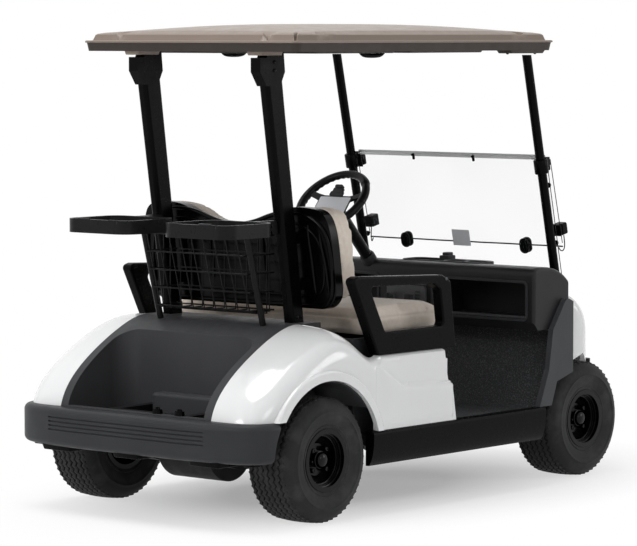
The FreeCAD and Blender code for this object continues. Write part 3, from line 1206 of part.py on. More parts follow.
for runner in range(runners):
    x = basket_front - (basket_front - foot_back) * ((runner + 1) / (runners + 1))
    low = wire_low - D.thin_wire
    wires += [
        wire("floor_wire_%d" % runner, "y", (x, -basket_half - thin, low), basket_half * 2 + thin * 2, thin),
        wire("upright_left_%d" % runner, "z", (x, basket_half, low), wire_top - low, thin),
        wire("upright_right_%d" % runner, "z", (x, -basket_half, low), wire_top - low, thin),
    ]
keep(joined("basket_wires", wires), "sweater_basket")

# Steering wheel: an eight-sided rim, a hub and three spokes, made square to X and then tilted to the column
ring_radius, ring_half = D.wheel_radius, D.wheel_rim / 2
octagon = []
for step in range(8):
    angle = math.pi * (step + 0.5) / 4
    octagon.append((ring_half * math.sin(angle), ring_radius + ring_half * math.cos(angle)))
hub_low = ring_half * -0.2
wheel_parts = [revolved("wheel_ring", octagon, "H_Axis"),
               rod("wheel_hub", "x", (hub_low, 0, 0), D.hub_depth - hub_low, D.hub_diameter_top / 2)]
for name, angle in (("left", 15), ("right", 165), ("low", 270)):
    spoke = block("spoke_" + name, (hub_low * 2, ring_half * 0.8), (ring_radius * 0.2, ring_radius),
                  (-ring_half, ring_half))
    turned_spoke = together("spoke_turned_" + name, [spoke])
    turned_spoke.Placement = Placement(Vector(), Rotation(X, angle))
    wheel_parts.append(turned_spoke)
wheel_x, wheel_z = at(D.wheel_at), D.wheel_height
steering = place(joined("steering_wheel_whole", wheel_parts), wheel_x, D.wheel_y, wheel_z,
                 Rotation(Y, float(D.column_angle)))
bind(steering, "Placement.Rotation.Angle", D.column_angle)
keep(steering, "steering_wheel")


# Steering column: a tube down the wheel's axis into the dashboard
def down_column(distance):
    return (wheel_x + cosine(D.column_angle) * distance, D.wheel_y, wheel_z - sine(D.column_angle) * distance)


column = slanted_rod("column_tube", down_column(D.hub_depth + D.seam), down_column(D.column_length),
                     D.column_diameter / 2)
keep(cut("column", column, [dash_whole]), "steering_column")

# Pedals: two pads on arms that stand on the floor
pads = []
pad_x, pad_low = at(D.pedal_at), floor_high + D.pedal_rise
for name, y in (("brake", D.wheel_y - D.brake_offset), ("throttle", D.wheel_y + D.throttle_offset)):
    pad = block(name + "_pad", (pad_x, pad_x + D.pedal_sheet), (y - D.pedal_width / 2, y + D.pedal_width / 2),
                (pad_low, pad_low + D.pedal_height))
    stem = slanted_rod(name + "_stem", (pad_x + D.pedal_rise, y, floor_high - D.floor_sheet / 2),
                       (pad_x + D.pedal_sheet / 2, y, pad_low + D.pedal_rise / 2), D.pedal_arm / 2)
    pads.append(cut(name, joined(name + "_whole", [pad, stem]), [floor]))
keep(together("pedal_pair", pads), "pedals")

# Check every piece and save the sub-parts
doc.recompute()
for obj in doc.Objects:
    if "Invalid" in obj.State or "Error" in obj.State:
        raise RuntimeError("object failed: %s %s" % (obj.Label, obj.State))
for obj in nodes:
    if obj.Shape.isNull() or not obj.Shape.isValid() or not obj.Shape.Solids:
        raise RuntimeError("bad shape: %s" % obj.Label)
for obj in nodes:
    obj.Shape.exportStep("parts/%s.step" % obj.Label)
    print("%-20s solids %2d volume %8.3f litres" % (obj.Label, len(obj.Shape.Solids), obj.Shape.Volume / 1e6))
print(len(nodes), "nodes")
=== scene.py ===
# %% [markdown]
# # A golf cart, dressed
# The CAD model already has every part of the cart at its real size: body, wheels, seat, roof and rack.
# Here each part gets the surface that the real one has, and the pieces that are too fine or too soft
# for CAD are added: cushions, tyre tread, nuts, clips and seams.
# All lengths are metres. +X is forward, +Y is the cart's left side and +Z is up.

# %% Load the frame
import json
import math
import bmesh
import bpy
from mathutils import Matrix, Vector


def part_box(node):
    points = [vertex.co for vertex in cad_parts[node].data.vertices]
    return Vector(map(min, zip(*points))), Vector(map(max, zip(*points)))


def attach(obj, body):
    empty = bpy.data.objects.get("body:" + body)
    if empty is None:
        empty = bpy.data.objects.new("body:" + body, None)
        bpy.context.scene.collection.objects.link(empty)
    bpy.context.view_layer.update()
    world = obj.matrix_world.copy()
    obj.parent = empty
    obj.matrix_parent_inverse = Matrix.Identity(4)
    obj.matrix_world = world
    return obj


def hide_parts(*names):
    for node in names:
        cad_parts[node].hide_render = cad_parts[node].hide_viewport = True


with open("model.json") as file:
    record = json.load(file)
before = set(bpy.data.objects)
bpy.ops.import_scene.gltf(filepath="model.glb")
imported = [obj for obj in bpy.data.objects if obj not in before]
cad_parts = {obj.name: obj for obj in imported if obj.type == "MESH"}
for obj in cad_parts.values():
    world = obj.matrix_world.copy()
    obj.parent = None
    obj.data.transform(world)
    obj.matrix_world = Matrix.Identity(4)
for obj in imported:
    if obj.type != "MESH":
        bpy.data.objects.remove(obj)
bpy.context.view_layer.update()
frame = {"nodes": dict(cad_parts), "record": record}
nodes = frame["nodes"]

# %% [markdown]
# ## The camera
# The photograph was taken from far behind the cart's right rear corner with a long lens, so parallel
# edges stay almost parallel. Its place and angle were worked out from the wheels, whose size is known.

# %% Place the camera
PHOTO_WIDTH, FOCAL_LENGTH = 637, 3304  # pixels of the photograph
CAMERA_TILT, CAMERA_TURN = 4.17, 40.35  # degrees down, and round from +X
scene = bpy.context.scene


def put(name, data):
    """Puts a mesh, curve, lamp or camera into the scene."""
    thing = bpy.data.objects.new(name, data)
    scene.collection.objects.link(thing)
    return thing


camera_data = bpy.data.cameras.new("photo_camera")
camera_data.sensor_width = 36
camera_data.lens = FOCAL_LENGTH * camera_data.sensor_width / PHOTO_WIDTH
camera_data.clip_end = 200
camera = put("photo_camera", camera_data)
camera.location = (-9.6764, -8.1120, 1.7472)
camera.rotation_euler = (math.radians(90 - CAMERA_TILT), 0, math.radians(CAMERA_TURN - 90))
bpy.context.scene.camera = camera
print("lens:", round(camera_data.lens, 1), "mm")

# %% [markdown]
# ## Light and floor
# A studio shot of a white cart needs big soft lamps, or the white panels have no shape. One large lamp
# overhead gives the soft shadow on the floor. A lamp at the cart's right and one ahead of it pick out the
# side panels, and a lamp behind fills the bag well. The world gives a low, even fill.

# %% Floor and lamps
floor_mesh = bpy.data.meshes.new("floor")
floor_mesh.from_pydata([(-60, -60, 0), (60, -60, 0), (60, 60, 0), (-60, 60, 0)], [], [(0, 1, 2, 3)])
floor = put("floor", floor_mesh)


def add_lamp(name, place, aim, size, watts):
    data = bpy.data.lights.new(name, "AREA")
    data.shape, data.size, data.energy = "DISK", size, watts
    lamp = put(name, data)
    lamp.location = place
    lamp.rotation_euler = (Vector(aim) - Vector(place)).to_track_quat("-Z", "Y").to_euler()


add_lamp("overhead", (-1.5, 0.5, 6.5), (0, 0, 0.8), 4.0, 270)
add_lamp("side", (-2.0, -8.0, 3.2), (0, 0, 0.7), 3.0, 58)
add_lamp("front", (4.5, -6.0, 2.6), (0.2, 0, 0.6), 3.0, 75)
add_lamp("behind", (-7.5, 1.5, 3.4), (0, 0, 0.7), 3.0, 150)
print("lamps:", len(bpy.data.lights))

# %% [markdown]
# ## A short way to write materials
# A material is a small calculation: a pattern in space, some sums, and a shader. `Value` wraps the output
# of a node so that the sums can be written as Python. `NodeMaker` adds the nodes, for a material or for the
# world, and `Finish` is the maker for one material.

# %% Values and node makers
class Value:
    """The output of a node, ready for sums."""

    def __init__(self, maker, socket):
        self.maker, self.socket = maker, socket

    def sum(self, operation, other, mine_first=True):
        first, second = (self, other) if mine_first else (other, self)
        return self.maker.add("ShaderNodeMath", {"operation": operation}, {0: first, 1: second})

    def __add__(self, other):
        return self.sum("ADD", other)

    def __sub__(self, other):
        return self.sum("SUBTRACT", other)

    def __rsub__(self, other):
        return self.sum("SUBTRACT", other, False)

    def __mul__(self, other):
        return self.sum("MULTIPLY", other)

    __radd__, __rmul__ = __add__, __mul__


class NodeMaker:
    """Adds nodes to a tree and feeds their sockets."""

    def __init__(self, tree):
        self.tree = tree

    def add(self, kind, settings=None, inputs=None, output=0):
        node = self.tree.nodes.new(kind)
        for name, setting in (settings or {}).items():
            setattr(node, name, setting)
        for name, value in (inputs or {}).items():
            self.feed(node.inputs[name], value)
        return Value(self, node.outputs[output])

    def feed(self, socket, value):
        if isinstance(value, Value):
            self.tree.links.new(value.socket, socket)
        else:
            socket.default_value = value

    def spread(self, mask, low, high, start=0.0, end=1.0):
        """One number where the mask is at its start, and another where it is at its end."""
        return self.add("ShaderNodeMapRange", {}, {"Value": mask, 1: start, 2: end, 3: low, 4: high})

    def looked_at(self):
        """1 for what is seen, mirrored or seen through the screen, and 0 for the light on the cart."""
        rays = [self.add("ShaderNodeLightPath", output=name) for name in
                ("Is Camera Ray", "Is Glossy Ray", "Is Transmission Ray")]
        return rays[0] + rays[1] + rays[2]


# %% Finishes
class Finish(NodeMaker):
    """A material with one shader, built from nodes."""

    def __init__(self, name, **fixed):
        self.material = bpy.data.materials.new(name)
        self.material.use_nodes = True
        super().__init__(self.material.node_tree)
        self.shader = self.tree.nodes["Principled BSDF"]
        self.set(**fixed)

    def set(self, **sockets):
        for name, value in sockets.items():
            self.feed(self.shader.inputs[name.replace("_", " ")], value)

    def place(self):
        return self.add("ShaderNodeTexCoord", output="Object")

    def noise(self, scale, detail=2.0):
        return self.add("ShaderNodeTexNoise", {}, {"Scale": scale, "Detail": detail, "Vector": self.place()})

    def cells(self, scale):
        return self.add("ShaderNodeTexVoronoi", {}, {"Scale": scale, "Vector": self.place()})

    def tint(self, mask, dark, light):
        """A colour between two, by a mask."""
        return self.add("ShaderNodeMix", {"data_type": "RGBA"}, {0: mask, 6: (*dark, 1), 7: (*light, 1)}, 2)

    def bump(self, height, depth):
        return self.add("ShaderNodeBump", {}, {"Height": height, "Distance": depth, "Strength": 1.0})


# %% [markdown]
# The floor is plain pale paper. To the camera, and in reflections, part of it glows white: a little near
# the cart, so that its shadow stays, and more with distance, until the floor and the backdrop are one
# white. No light is added to the cart. The world is a low grey for the light that falls on the cart and
# white for what is seen or mirrored.

# %% Finish the floor and the world
WORLD_LIGHT, NEAR_GLOW = 0.32, 0.34
paper = Finish("floor_paper", Roughness=0.9)
paper.set(Base_Color=paper.tint(paper.noise(0.6), (0.93, 0.93, 0.93), (0.96, 0.96, 0.96)))
narrow = paper.add("ShaderNodeVectorMath", {"operation": "MULTIPLY"}, {0: paper.place(), 1: (0.55, 1.0, 1.0)})
distance = paper.add("ShaderNodeVectorMath", {"operation": "LENGTH"}, {0: narrow}, 1)
glow = paper.add("ShaderNodeEmission", inputs={"Color": (1, 1, 1, 1), "Strength": 1.0})
share = paper.looked_at() * paper.spread(distance, NEAR_GLOW, 1.0, 0.30, 1.05)
plain = Value(paper, paper.shader.outputs[0])
both = paper.add("ShaderNodeMixShader", inputs={0: share, 1: plain, 2: glow})
paper.feed(paper.tree.nodes["Material Output"].inputs["Surface"], both)
floor_mesh.materials.append(paper.material)

world = bpy.data.worlds.new("studio")
scene.world = world
world.use_nodes = True
sky = NodeMaker(world.node_tree)
background = sky.tree.nodes["Background"]
background.inputs["Color"].default_value = (1, 1, 1, 1)
sky.feed(background.inputs["Strength"], sky.spread(sky.looked_at(), WORLD_LIGHT, 1.0))
bpy.context.scene.view_settings.view_transform = "Standard"
print("floor and world finished")

# %% [markdown]
# ## Painted and moulded surfaces
# Gloss paint has a hard clear layer and a very slight ripple, called orange peel. Moulded plastic has a
# fine pebble grain and no clear layer. Both are one helper: how deep the grain is, how coarse, and how
# much the surface varies in colour and in gloss.

# %% Make the hard finishes
RIPPLE = 0.00012


def hard_finish(name, colour, rough, grain_size, grain_depth, coat=0.0, shade=0.08, shine=0.25):
    finish = Finish(name, Coat_Weight=coat, Coat_Roughness=0.06, Specular_IOR_Level=shine)
    dark = tuple(c * (1 - shade) for c in colour)
    light = tuple(min(1.0, c * (1 + shade)) for c in colour)
    finish.set(Base_Color=finish.tint(finish.spread(finish.noise(3.5, 3.0), 0, 1, 0.3, 0.7), dark, light))
    finish.set(Roughness=finish.spread(finish.noise(22.0, 4.0), rough * 0.85, min(1.0, rough * 1.18), 0.3, 0.7))
    if grain_depth:
        finish.set(Normal=finish.bump(finish.cells(1 / grain_size), grain_depth))
    else:
        finish.set(Normal=finish.bump(finish.noise(1 / grain_size, 1.0), RIPPLE))
    return finish


FINISHES = {
    "body_white": hard_finish("white_gloss_paint", (0.78, 0.785, 0.79), 0.16, 0.030, 0.0, coat=0.5,
                              shade=0.012, shine=0.5),
    "black_moulding": hard_finish("black_grained_plastic", (0.036, 0.037, 0.040), 0.40, 0.0016, 0.00014,
                                  shade=0.12, shine=0.10),
    # The bag well is the black moulding made lighter, as painted light in its shaded recess.
    "well_moulding": hard_finish("well_plastic_painted_light", (0.052, 0.053, 0.056), 0.42, 0.0016, 0.00014,
                                 shade=0.10, shine=0.10),
    "dash_moulding": hard_finish("dash_grained_plastic", (0.016, 0.016, 0.0175), 0.34, 0.0016, 0.00012,
                                 shade=0.12, shine=0.16),
    "grey_moulding": hard_finish("charcoal_grained_plastic", (0.060, 0.062, 0.067), 0.44, 0.0016, 0.00014,
                                 shine=0.12),
    "roof_beige": hard_finish("taupe_roof_plastic", (0.222, 0.177, 0.146), 0.34, 0.0030, 0.00010, shade=0.03),
    # The roof's skirt and underside, and the plates under the roof, get this darker taupe as painted shade.
    "roof_under": hard_finish("taupe_painted_shade", (0.040, 0.032, 0.027), 0.50, 0.0030, 0.00012, shade=0.06),
    "black_steel": hard_finish("black_powder_coat", (0.009, 0.009, 0.0095), 0.30, 0.0022, 0.00006, shine=0.10),
    "wheel_black": hard_finish("black_wheel_enamel", (0.0015, 0.0015, 0.0018), 0.16, 0.0030, 0.00003,
                               shine=0.16),
    "frame_metal": hard_finish("coated_frame_tube", (0.008, 0.008, 0.009), 0.45, 0.0030, 0.00020, shine=0.12),
    "drive_metal": hard_finish("cast_drive_housing", (0.022, 0.022, 0.024), 0.55, 0.0040, 0.00060, shine=0.12),
    "battery_case": hard_finish("battery_plastic", (0.02, 0.02, 0.022), 0.55, 0.0020, 0.00020),
    "panel_grey": hard_finish("grey_switch_panel", (0.085, 0.088, 0.092), 0.38, 0.0012, 0.00008, shade=0.04),
    "black_satin": hard_finish("black_satin_plastic", (0.0018, 0.0018, 0.0022), 0.28, 0.0020, 0.00006,
                               shine=0.05),
    "rail": hard_finish("pale_screen_rail", (0.70, 0.71, 0.72), 0.32, 0.0010, 0.00003, shade=0.04, shine=0.5),
    "card": hard_finish("blank_card", (0.84, 0.86, 0.90), 0.55, 0.0008, 0.00002, shade=0.02),
    "shell_gloss": hard_finish("black_shell_plastic", (0.0012, 0.0012, 0.0014), 0.18, 0.0040, 0.00005,
                               shine=0.10),
}
print("hard finishes:", len(FINISHES))

# %% [markdown]
# ## Rubber, vinyl and clear plastic
# Tyre rubber is never pure black: on the real tyre dust sits in its low places and the sidewall is a little
# browner, and here the rubber carries dust in random patches. The floor mat is moulded with small raised dots
# and has pale specks. Seat vinyl has a leather grain of closed cells with fine wrinkles between them. The
# screen is clear acrylic, almost unseen but for its shine.

# %% Make the soft and clear finishes
rubber = Finish("tyre_rubber", Specular_IOR_Level=0.12)
dust = rubber.spread(rubber.noise(14.0, 5.0), 0, 1, 0.45, 0.75)
rubber.set(Base_Color=rubber.tint(dust, (0.024, 0.024, 0.025), (0.056, 0.056, 0.056)),
           Roughness=rubber.spread(dust, 0.62, 0.86), Normal=rubber.bump(rubber.noise(420.0, 3.0), 0.0004))

mat = Finish("floor_mat_rubber", Specular_IOR_Level=0.25)
dots = mat.cells(140.0)
speck = mat.spread(mat.noise(190.0, 3.0), 0, 1, 0.50, 0.66)
mat.set(Base_Color=mat.tint(speck, (0.042, 0.044, 0.046), (0.125, 0.130, 0.136)),
        Roughness=mat.spread(dots, 0.6, 0.8), Normal=mat.bump(1 - dots, 0.0012))

vinyl = Finish("seat_vinyl", Sheen_Weight=0.15, Sheen_Roughness=0.5)
grain, wrinkle = vinyl.cells(520.0), vinyl.noise(60.0, 5.0)
worn = vinyl.spread(wrinkle, 0, 1, 0.35, 0.7)
vinyl.set(Base_Color=vinyl.tint(worn, (0.720, 0.625, 0.535), (0.780, 0.690, 0.600)),
          Roughness=vinyl.spread(grain, 0.42, 0.60), Normal=vinyl.bump(grain * 0.6 + wrinkle * 0.9, 0.0006))

acrylic = Finish("clear_acrylic", Specular_IOR_Level=0.5)
acrylic.set(Base_Color=acrylic.tint(acrylic.noise(2.0), (0.16, 0.18, 0.19), (0.24, 0.26, 0.27)),
            Roughness=acrylic.spread(acrylic.noise(9.0, 4.0), 0.02, 0.05),
            Alpha=acrylic.spread(acrylic.noise(1.6, 1.0), 0.014, 0.034, 0.35, 0.65))
FINISHES.update(tyre=rubber, floor_mat=mat, seat_beige=vinyl, clear_pane=acrylic)
print("finishes:", len(FINISHES))

# %% Paint the CAD parts with their finishes
SATIN_PARTS = ("armrest", "rocker", "rear_strut", "front_strut")
# The bag well takes the lighter copy of the black moulding as painted light.
OWN_FINISH = {"bag_well": "well_moulding", "dashboard": "dash_moulding", "seat_back_shell": "shell_gloss"}


def soften(piece, width, angle=30):
    """Rounds the edges that are sharper than an angle."""
    edge = piece.modifiers.new("edge", "BEVEL")
    edge.width, edge.segments, edge.limit_method = width, 3, "ANGLE"
    edge.angle_limit = math.radians(angle)
    edge.harden_normals = True


slots = {part["node"]: part["material_slot"] for part in frame["record"]["subparts"]}
for name, part in nodes.items():
    finish = OWN_FINISH.get(name, slots[name])
    if name.startswith(SATIN_PARTS):
        finish = "black_satin"
        soften(part, 0.0055 if name.startswith("armrest") else 0.0035, 35)
    part.data.materials.clear()
    part.data.materials.append(FINISHES[finish].material)
print("painted:", len(slots))

# %% [markdown]
# ## Making a piece
# Every piece that CAD leaves out is a mesh or a curve made in code. A few helpers cover most of them: one
# turns points and faces into a finished object, one pushes an outline into a thick plate, one turns an
# outline about an axis, and one runs a round bar through points. Edges get a small bevel, because real
# mouldings and castings have no sharp edge and the bevel is what catches the light.

# %% Helpers for finished pieces
SIDES = (("left", 1), ("right", -1))


def dress(piece, finish, body):
    """Gives a piece its finish and the CAD body that it moves with."""
    piece.data.materials.append(FINISHES[finish].material)
    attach(piece, body)
    return piece


def piece_of(name, points, faces, finish, body="chassis", bevel=0.0, sharp=40, part_slot=None):
    mesh = bpy.data.meshes.new(name)
    mesh.from_pydata([tuple(p) for p in points], [], faces)
    form = bmesh.new()
    form.from_mesh(mesh)
    bmesh.ops.recalc_face_normals(form, faces=form.faces)
    form.to_mesh(mesh)
    form.free()
    mesh.shade_smooth()
    mesh.set_sharp_from_angle(angle=math.radians(sharp))
    piece = put(name, mesh)
    if bevel:
        soften(piece, bevel)
    return dress(piece, finish, body)


def bar(name, points, radius, finish, closed=False):
    """A round bar or wire on the chassis: a NURBS curve with a thickness."""
    curve = bpy.data.curves.new(name, "CURVE")
    curve.dimensions = "3D"
    curve.bevel_depth, curve.bevel_resolution, curve.resolution_u = radius, 3, 6
    curve.use_fill_caps = True
    line = curve.splines.new("NURBS")
    line.points.add(len(points) - 1)
    for knot, place in zip(line.points, points):
        knot.co = (*place, 1)
    line.use_cyclic_u = closed
    line.use_endpoint_u = not closed
    line.order_u = 3
    return dress(put(name, curve), finish, "chassis")


# %% Helpers for axes and outlines
def at(x=0.0, y=0.0, z=0.0):
    """A matrix that moves by three lengths."""
    return Matrix.Translation((x, y, z))


def frame_at(place, right, up):
    """A matrix whose X axis is right, Y axis is up and Z axis is their cross product, at a place."""
    x = Vector(right).normalized()
    z = x.cross(Vector(up)).normalized()
    y = z.cross(x)
    return at(*place) @ Matrix((x, y, z)).transposed().to_4x4()


def round_outline(width, height, radius, steps=5):
    """A rounded rectangle about the origin."""
    points = []
    for turn, (across, up) in enumerate(((1, 1), (-1, 1), (-1, -1), (1, -1))):
        for k in range(steps + 1):
            angle = math.radians(90 * turn + 90 * k / steps)
            points.append((across * (width / 2 - radius) + radius * math.cos(angle),
                           up * (height / 2 - radius) + radius * math.sin(angle)))
    return points


# %% Helpers for points and faces
def skin_faces(rows, count, rows_closed=True, row_closed=True):
    """Faces between rows that have the same number of points, each row running round or across."""
    faces = []
    for k in range(rows if rows_closed else rows - 1):
        here, there = k * count, (k + 1) % rows * count
        for i in range(count if row_closed else count - 1):
            j = (i + 1) % count
            faces.append((here + i, there + i, there + j, here + j))
    return faces


def gather(parts):
    """Joins several lists of points and faces into one."""
    points, faces = [], []
    for more_points, more_faces in parts:
        start = len(points)
        points += more_points
        faces += [tuple(start + k for k in face) for face in more_faces]
    return points, faces


def plate_parts(outline, thick, matrix):
    """An outline in the X-Y plane pushed up by a thickness, then moved by a matrix."""
    count = len(outline)
    points = [matrix @ Vector((u, v, w)) for w in (0.0, thick) for u, v in outline]
    ends = [tuple(range(count)), tuple(range(count, count * 2))]
    return points, ends + skin_faces(2, count, rows_closed=False)


def tablet(width, height, radius, thick, matrix):
    """A plate with a rounded rectangular outline."""
    return plate_parts(round_outline(width, height, radius), thick, matrix)


def ring_parts(outer, inner, thick, matrix):
    """A flat ring between two outlines that have the same number of points."""
    rows = ((outer, 0.0), (inner, 0.0), (inner, thick), (outer, thick))
    return [matrix @ Vector((u, v, w)) for line, w in rows for u, v in line], skin_faces(4, len(outer))


def lathe_parts(profile, steps, matrix, closed=False):
    """A profile of (radius, height) turned about a matrix's Z axis."""
    points, count = [], len(profile)
    for k in range(steps):
        angle = 2 * math.pi * k / steps
        for radius, height in profile:
            points.append(matrix @ Vector((radius * math.cos(angle), radius * math.sin(angle), height)))
    ends = [] if closed else [tuple(k * count + end for k in range(steps)) for end in (0, count - 1)]
    return points, skin_faces(steps, count, row_closed=closed) + ends


def block_parts(xs, ys, zs, taper):
    """A block that is narrower at its foot, as a moulded socket is."""
    outline = round_outline(abs(xs[1] - xs[0]), abs(ys[1] - ys[0]), 0.010, 3)
    middle_x, middle_y, count = sum(xs) / 2, sum(ys) / 2, len(outline)
    points = [(middle_x + u * share, middle_y + v * share, z) for z, share in zip(zs, (taper, 1))
              for u, v in outline]
    ends = [tuple(range(count)), tuple(range(count, count * 2))]
    return points, ends + skin_faces(2, count, rows_closed=False)


print("helpers ready")

# %% [markdown]
# ## Tyres
# A golf tyre is low and round-shouldered, with zigzag grooves that run all the way round, so that it grips
# turf without tearing it. The cross-section is a list of points. Round the wheel, the points of each groove
# shift from side to side, which makes the zigzag, and the grooves are real depth in the mesh.

# %% Make the tyres
WHEEL_HEIGHT = 0.2285
WHEELS = {"rear": (-0.77, 0.49), "front": (0.87, 0.435)}
SIDEWALL = [
    (0.1050, 0.0850), (0.1100, 0.0888), (0.1165, 0.0925), (0.1215, 0.0935), (0.1232, 0.0962), (0.1262, 0.0965),
    (0.1278, 0.0945), (0.1330, 0.0968), (0.1450, 0.1020), (0.1600, 0.1056), (0.1720, 0.1068), (0.1728, 0.1078),
    (0.1752, 0.1078), (0.1762, 0.1064), (0.1880, 0.1036), (0.1990, 0.0985), (0.2080, 0.0920), (0.2140, 0.0862),
    (0.2190, 0.0806),
]
GROOVES = (-0.0620, -0.0372, -0.0124, 0.0124, 0.0372, 0.0620)
GROOVE_HALF, GROOVE_DEPTH, ZIGZAG, TREAD_HALF = 0.0037, 0.0080, 0.0052, 0.0752
TYRE_STEPS, WAVE = 208, (0, 1, 0, -1)


def crown(y):
    """The tread's radius at a place across the tyre."""
    return WHEEL_HEIGHT - 0.0004 - 0.0042 * (y / TREAD_HALF) ** 2


def tread_profile():
    """The cross-section as radius, place across the tyre and how far the zigzag moves the point."""
    lug = [(0.2205, 0.0786, ZIGZAG), (0.2232, 0.0768, ZIGZAG), (0.2242, 0.0738, ZIGZAG)]
    profile = [(r, y, 0.0) for r, y in SIDEWALL] + lug
    for y in reversed(GROOVES):
        for way in (1, -1):
            lip = way * GROOVE_HALF
            wall = [(crown(y + lip) - 0.0002, y + lip + way * 0.0012, ZIGZAG),
                    (crown(y) - 0.0010, y + lip, ZIGZAG), (crown(y) - GROOVE_DEPTH, y + lip * 0.45, ZIGZAG)]
            profile += wall[::way]
    return profile + [(r, -y, shift) for r, y, shift in reversed(lug)] + [(r, -y, 0.0) for r, y in SIDEWALL[::-1]]


def make_tyre(name, centre, body):
    profile = tread_profile()
    points = []
    for k in range(TYRE_STEPS):
        angle = 2 * math.pi * k / TYRE_STEPS
        for r, y, shift in profile:
            points.append((centre[0] + r * math.cos(angle), centre[1] + y + shift * WAVE[k % 4],
                           centre[2] + r * math.sin(angle)))
    return piece_of(name, points, skin_faces(TYRE_STEPS, len(profile)), "tyre", body, sharp=48)


for end, (wheel_x, wheel_y) in WHEELS.items():
    for side, sign in SIDES:
        where = (wheel_x, sign * wheel_y, WHEEL_HEIGHT)
        tyre = make_tyre("treaded_tyre_%s_%s" % (end, side), where, "wheel_%s_%s" % (end, side))
        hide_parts("tyre_%s_%s" % (end, side))
print("faces in one tyre:", len(tyre.data.polygons))

# %% [markdown]
# ## Seat cushions
# The bench and the back rest are foam blocks in sewn vinyl covers. Foam pushes the cover out evenly, and the
# seams hold it in. Blender's cloth does the same: the CAD block is made a little smaller, remeshed into even
# squares, blown up with a small pressure and stopped early. Where a board, a strut or the other cushion is in
# the way, the cover is pressed flat. The seams come after the cloth, as narrow dips along lines.

# %% Blow up a cushion
COVER_SQUARE, COVER_FRAMES = 0.009, 20


def final_mesh(piece):
    """The mesh of a piece with its modifiers worked in."""
    return bpy.data.meshes.new_from_object(piece.evaluated_get(bpy.context.evaluated_depsgraph_get()))


def cover(piece):
    """Cloth settings of a firm cover with a small pressure inside and no weight."""
    cloth = piece.modifiers.new("cover", "CLOTH")
    fabric = cloth.settings
    fabric.quality, fabric.mass, fabric.air_damping = 4, 0.3, 4.0
    fabric.tension_stiffness = fabric.compression_stiffness = 30
    fabric.shear_stiffness, fabric.bending_stiffness = 15, 2.0
    fabric.use_pressure, fabric.uniform_pressure_force = True, 4.0
    fabric.effector_weights.gravity = 0
    cloth.point_cache.frame_start, cloth.point_cache.frame_end = 1, COVER_FRAMES


def swollen(name, node, shrink, cap):
    """A copy of a CAD block, smaller by shrink on each side, then blown up by at most a cap."""
    low, high = (Vector(corner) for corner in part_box(node))
    middle, size = (low + high) / 2, high - low
    mesh = nodes[node].data.copy()
    for vertex in mesh.vertices:
        for axis in range(3):
            share = 1 - 2 * shrink[axis] / size[axis]
            vertex.co[axis] = middle[axis] + (vertex.co[axis] - middle[axis]) * share
    start = put(name + "_start", mesh)
    remesh = start.modifiers.new("even", "REMESH")
    remesh.mode, remesh.voxel_size = "VOXEL", COVER_SQUARE
    piece = put(name, final_mesh(start))
    bpy.data.objects.remove(start)
    before = [vertex.co.copy() for vertex in piece.data.vertices]
    cover(piece)
    for frame_number in range(1, COVER_FRAMES + 1):
        scene.frame_set(frame_number)
    swelled = final_mesh(piece)
    piece.modifiers.clear()
    for vertex, old in zip(swelled.vertices, before):
        move = vertex.co - old
        if move.length > cap:
            vertex.co = old + move * (cap / move.length)
    piece.data = swelled
    scene.frame_set(1)
    return piece


# %% Smooth and sew a cushion
def clamp(value, low=0.0, high=1.0):
    return min(max(value, low), high)


def smooth(piece):
    """Works in one level of subdivision."""
    piece.modifiers.new("smooth", "SUBSURF").levels = 1
    finer = final_mesh(piece)
    piece.modifiers.clear()
    piece.data = finer


def sew(piece, seams, width=0.0035, depth=0.0030):
    """Pulls the cover in along seams, each a function that gives a point's distance from the line."""
    mesh = piece.data
    normals = [vertex.normal.copy() for vertex in mesh.vertices]
    for vertex, normal in zip(mesh.vertices, normals):
        pull = 0.0
        for seam in seams:
            away = seam(vertex.co, normal) / width
            if abs(away) < 3:
                pull = max(pull, math.exp(-away * away))
        if pull:
            vertex.co = vertex.co - normal * (depth * pull)
    mesh.shade_smooth()


def finish_cushion(piece, seams, body):
    smooth(piece)
    sew(piece, seams)
    dress(piece, "seat_beige", body)
    print(piece.name, "faces:", len(piece.data.polygons))


NO_SEAM = 1.0

# %% Make the bench cushion
seat_low, seat_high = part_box("seat_bottom")
bench = swollen("bench_cushion", "seat_bottom", (0.010, 0.010, 0.008), 0.022)
BENCH_LOW = (seat_low[0], seat_low[1] - 0.006, seat_low[2])
BENCH_HIGH = (seat_high[0] + 0.008, seat_high[1] + 0.006, seat_high[2] + 0.012)
for vertex in bench.data.vertices:
    for axis in range(3):
        vertex.co[axis] = clamp(vertex.co[axis], BENCH_LOW[axis], BENCH_HIGH[axis])
    from_rear = clamp((vertex.co.x - seat_low[0]) / 0.12)
    vertex.co.z = min(vertex.co.z, seat_high[2] - 0.004 + 0.016 * from_rear)
SEAT_SEAM = seat_low[2] + 0.062
FRONT_SEAM = seat_high[0] - 0.085
finish_cushion(bench, [
    lambda p, n: p.z - SEAT_SEAM if abs(n.z) < 0.9 else NO_SEAM,
    lambda p, n: p.x - FRONT_SEAM - 0.010 * math.cos(p.y * 6.0) if n.z > 0.3 else NO_SEAM,
], "seat")
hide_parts("seat_bottom")

# %% Make the back cushion
back_low, back_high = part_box("seat_back")
rest = swollen("back_cushion", "seat_back", (-0.010, -0.008, -0.004), 0.014)
BACK_SLOPE = math.tan(math.radians(8))
BACK_PLANE = back_high[0] - 0.096
BACK_FOOT, BENCH_CLEAR = 0.776, 0.772


def ahead_of_shell(p):
    """How far a point of the pad is ahead of the leaned plane that the shell holds."""
    return p.x + BACK_SLOPE * (p.z - back_low[2]) - BACK_PLANE


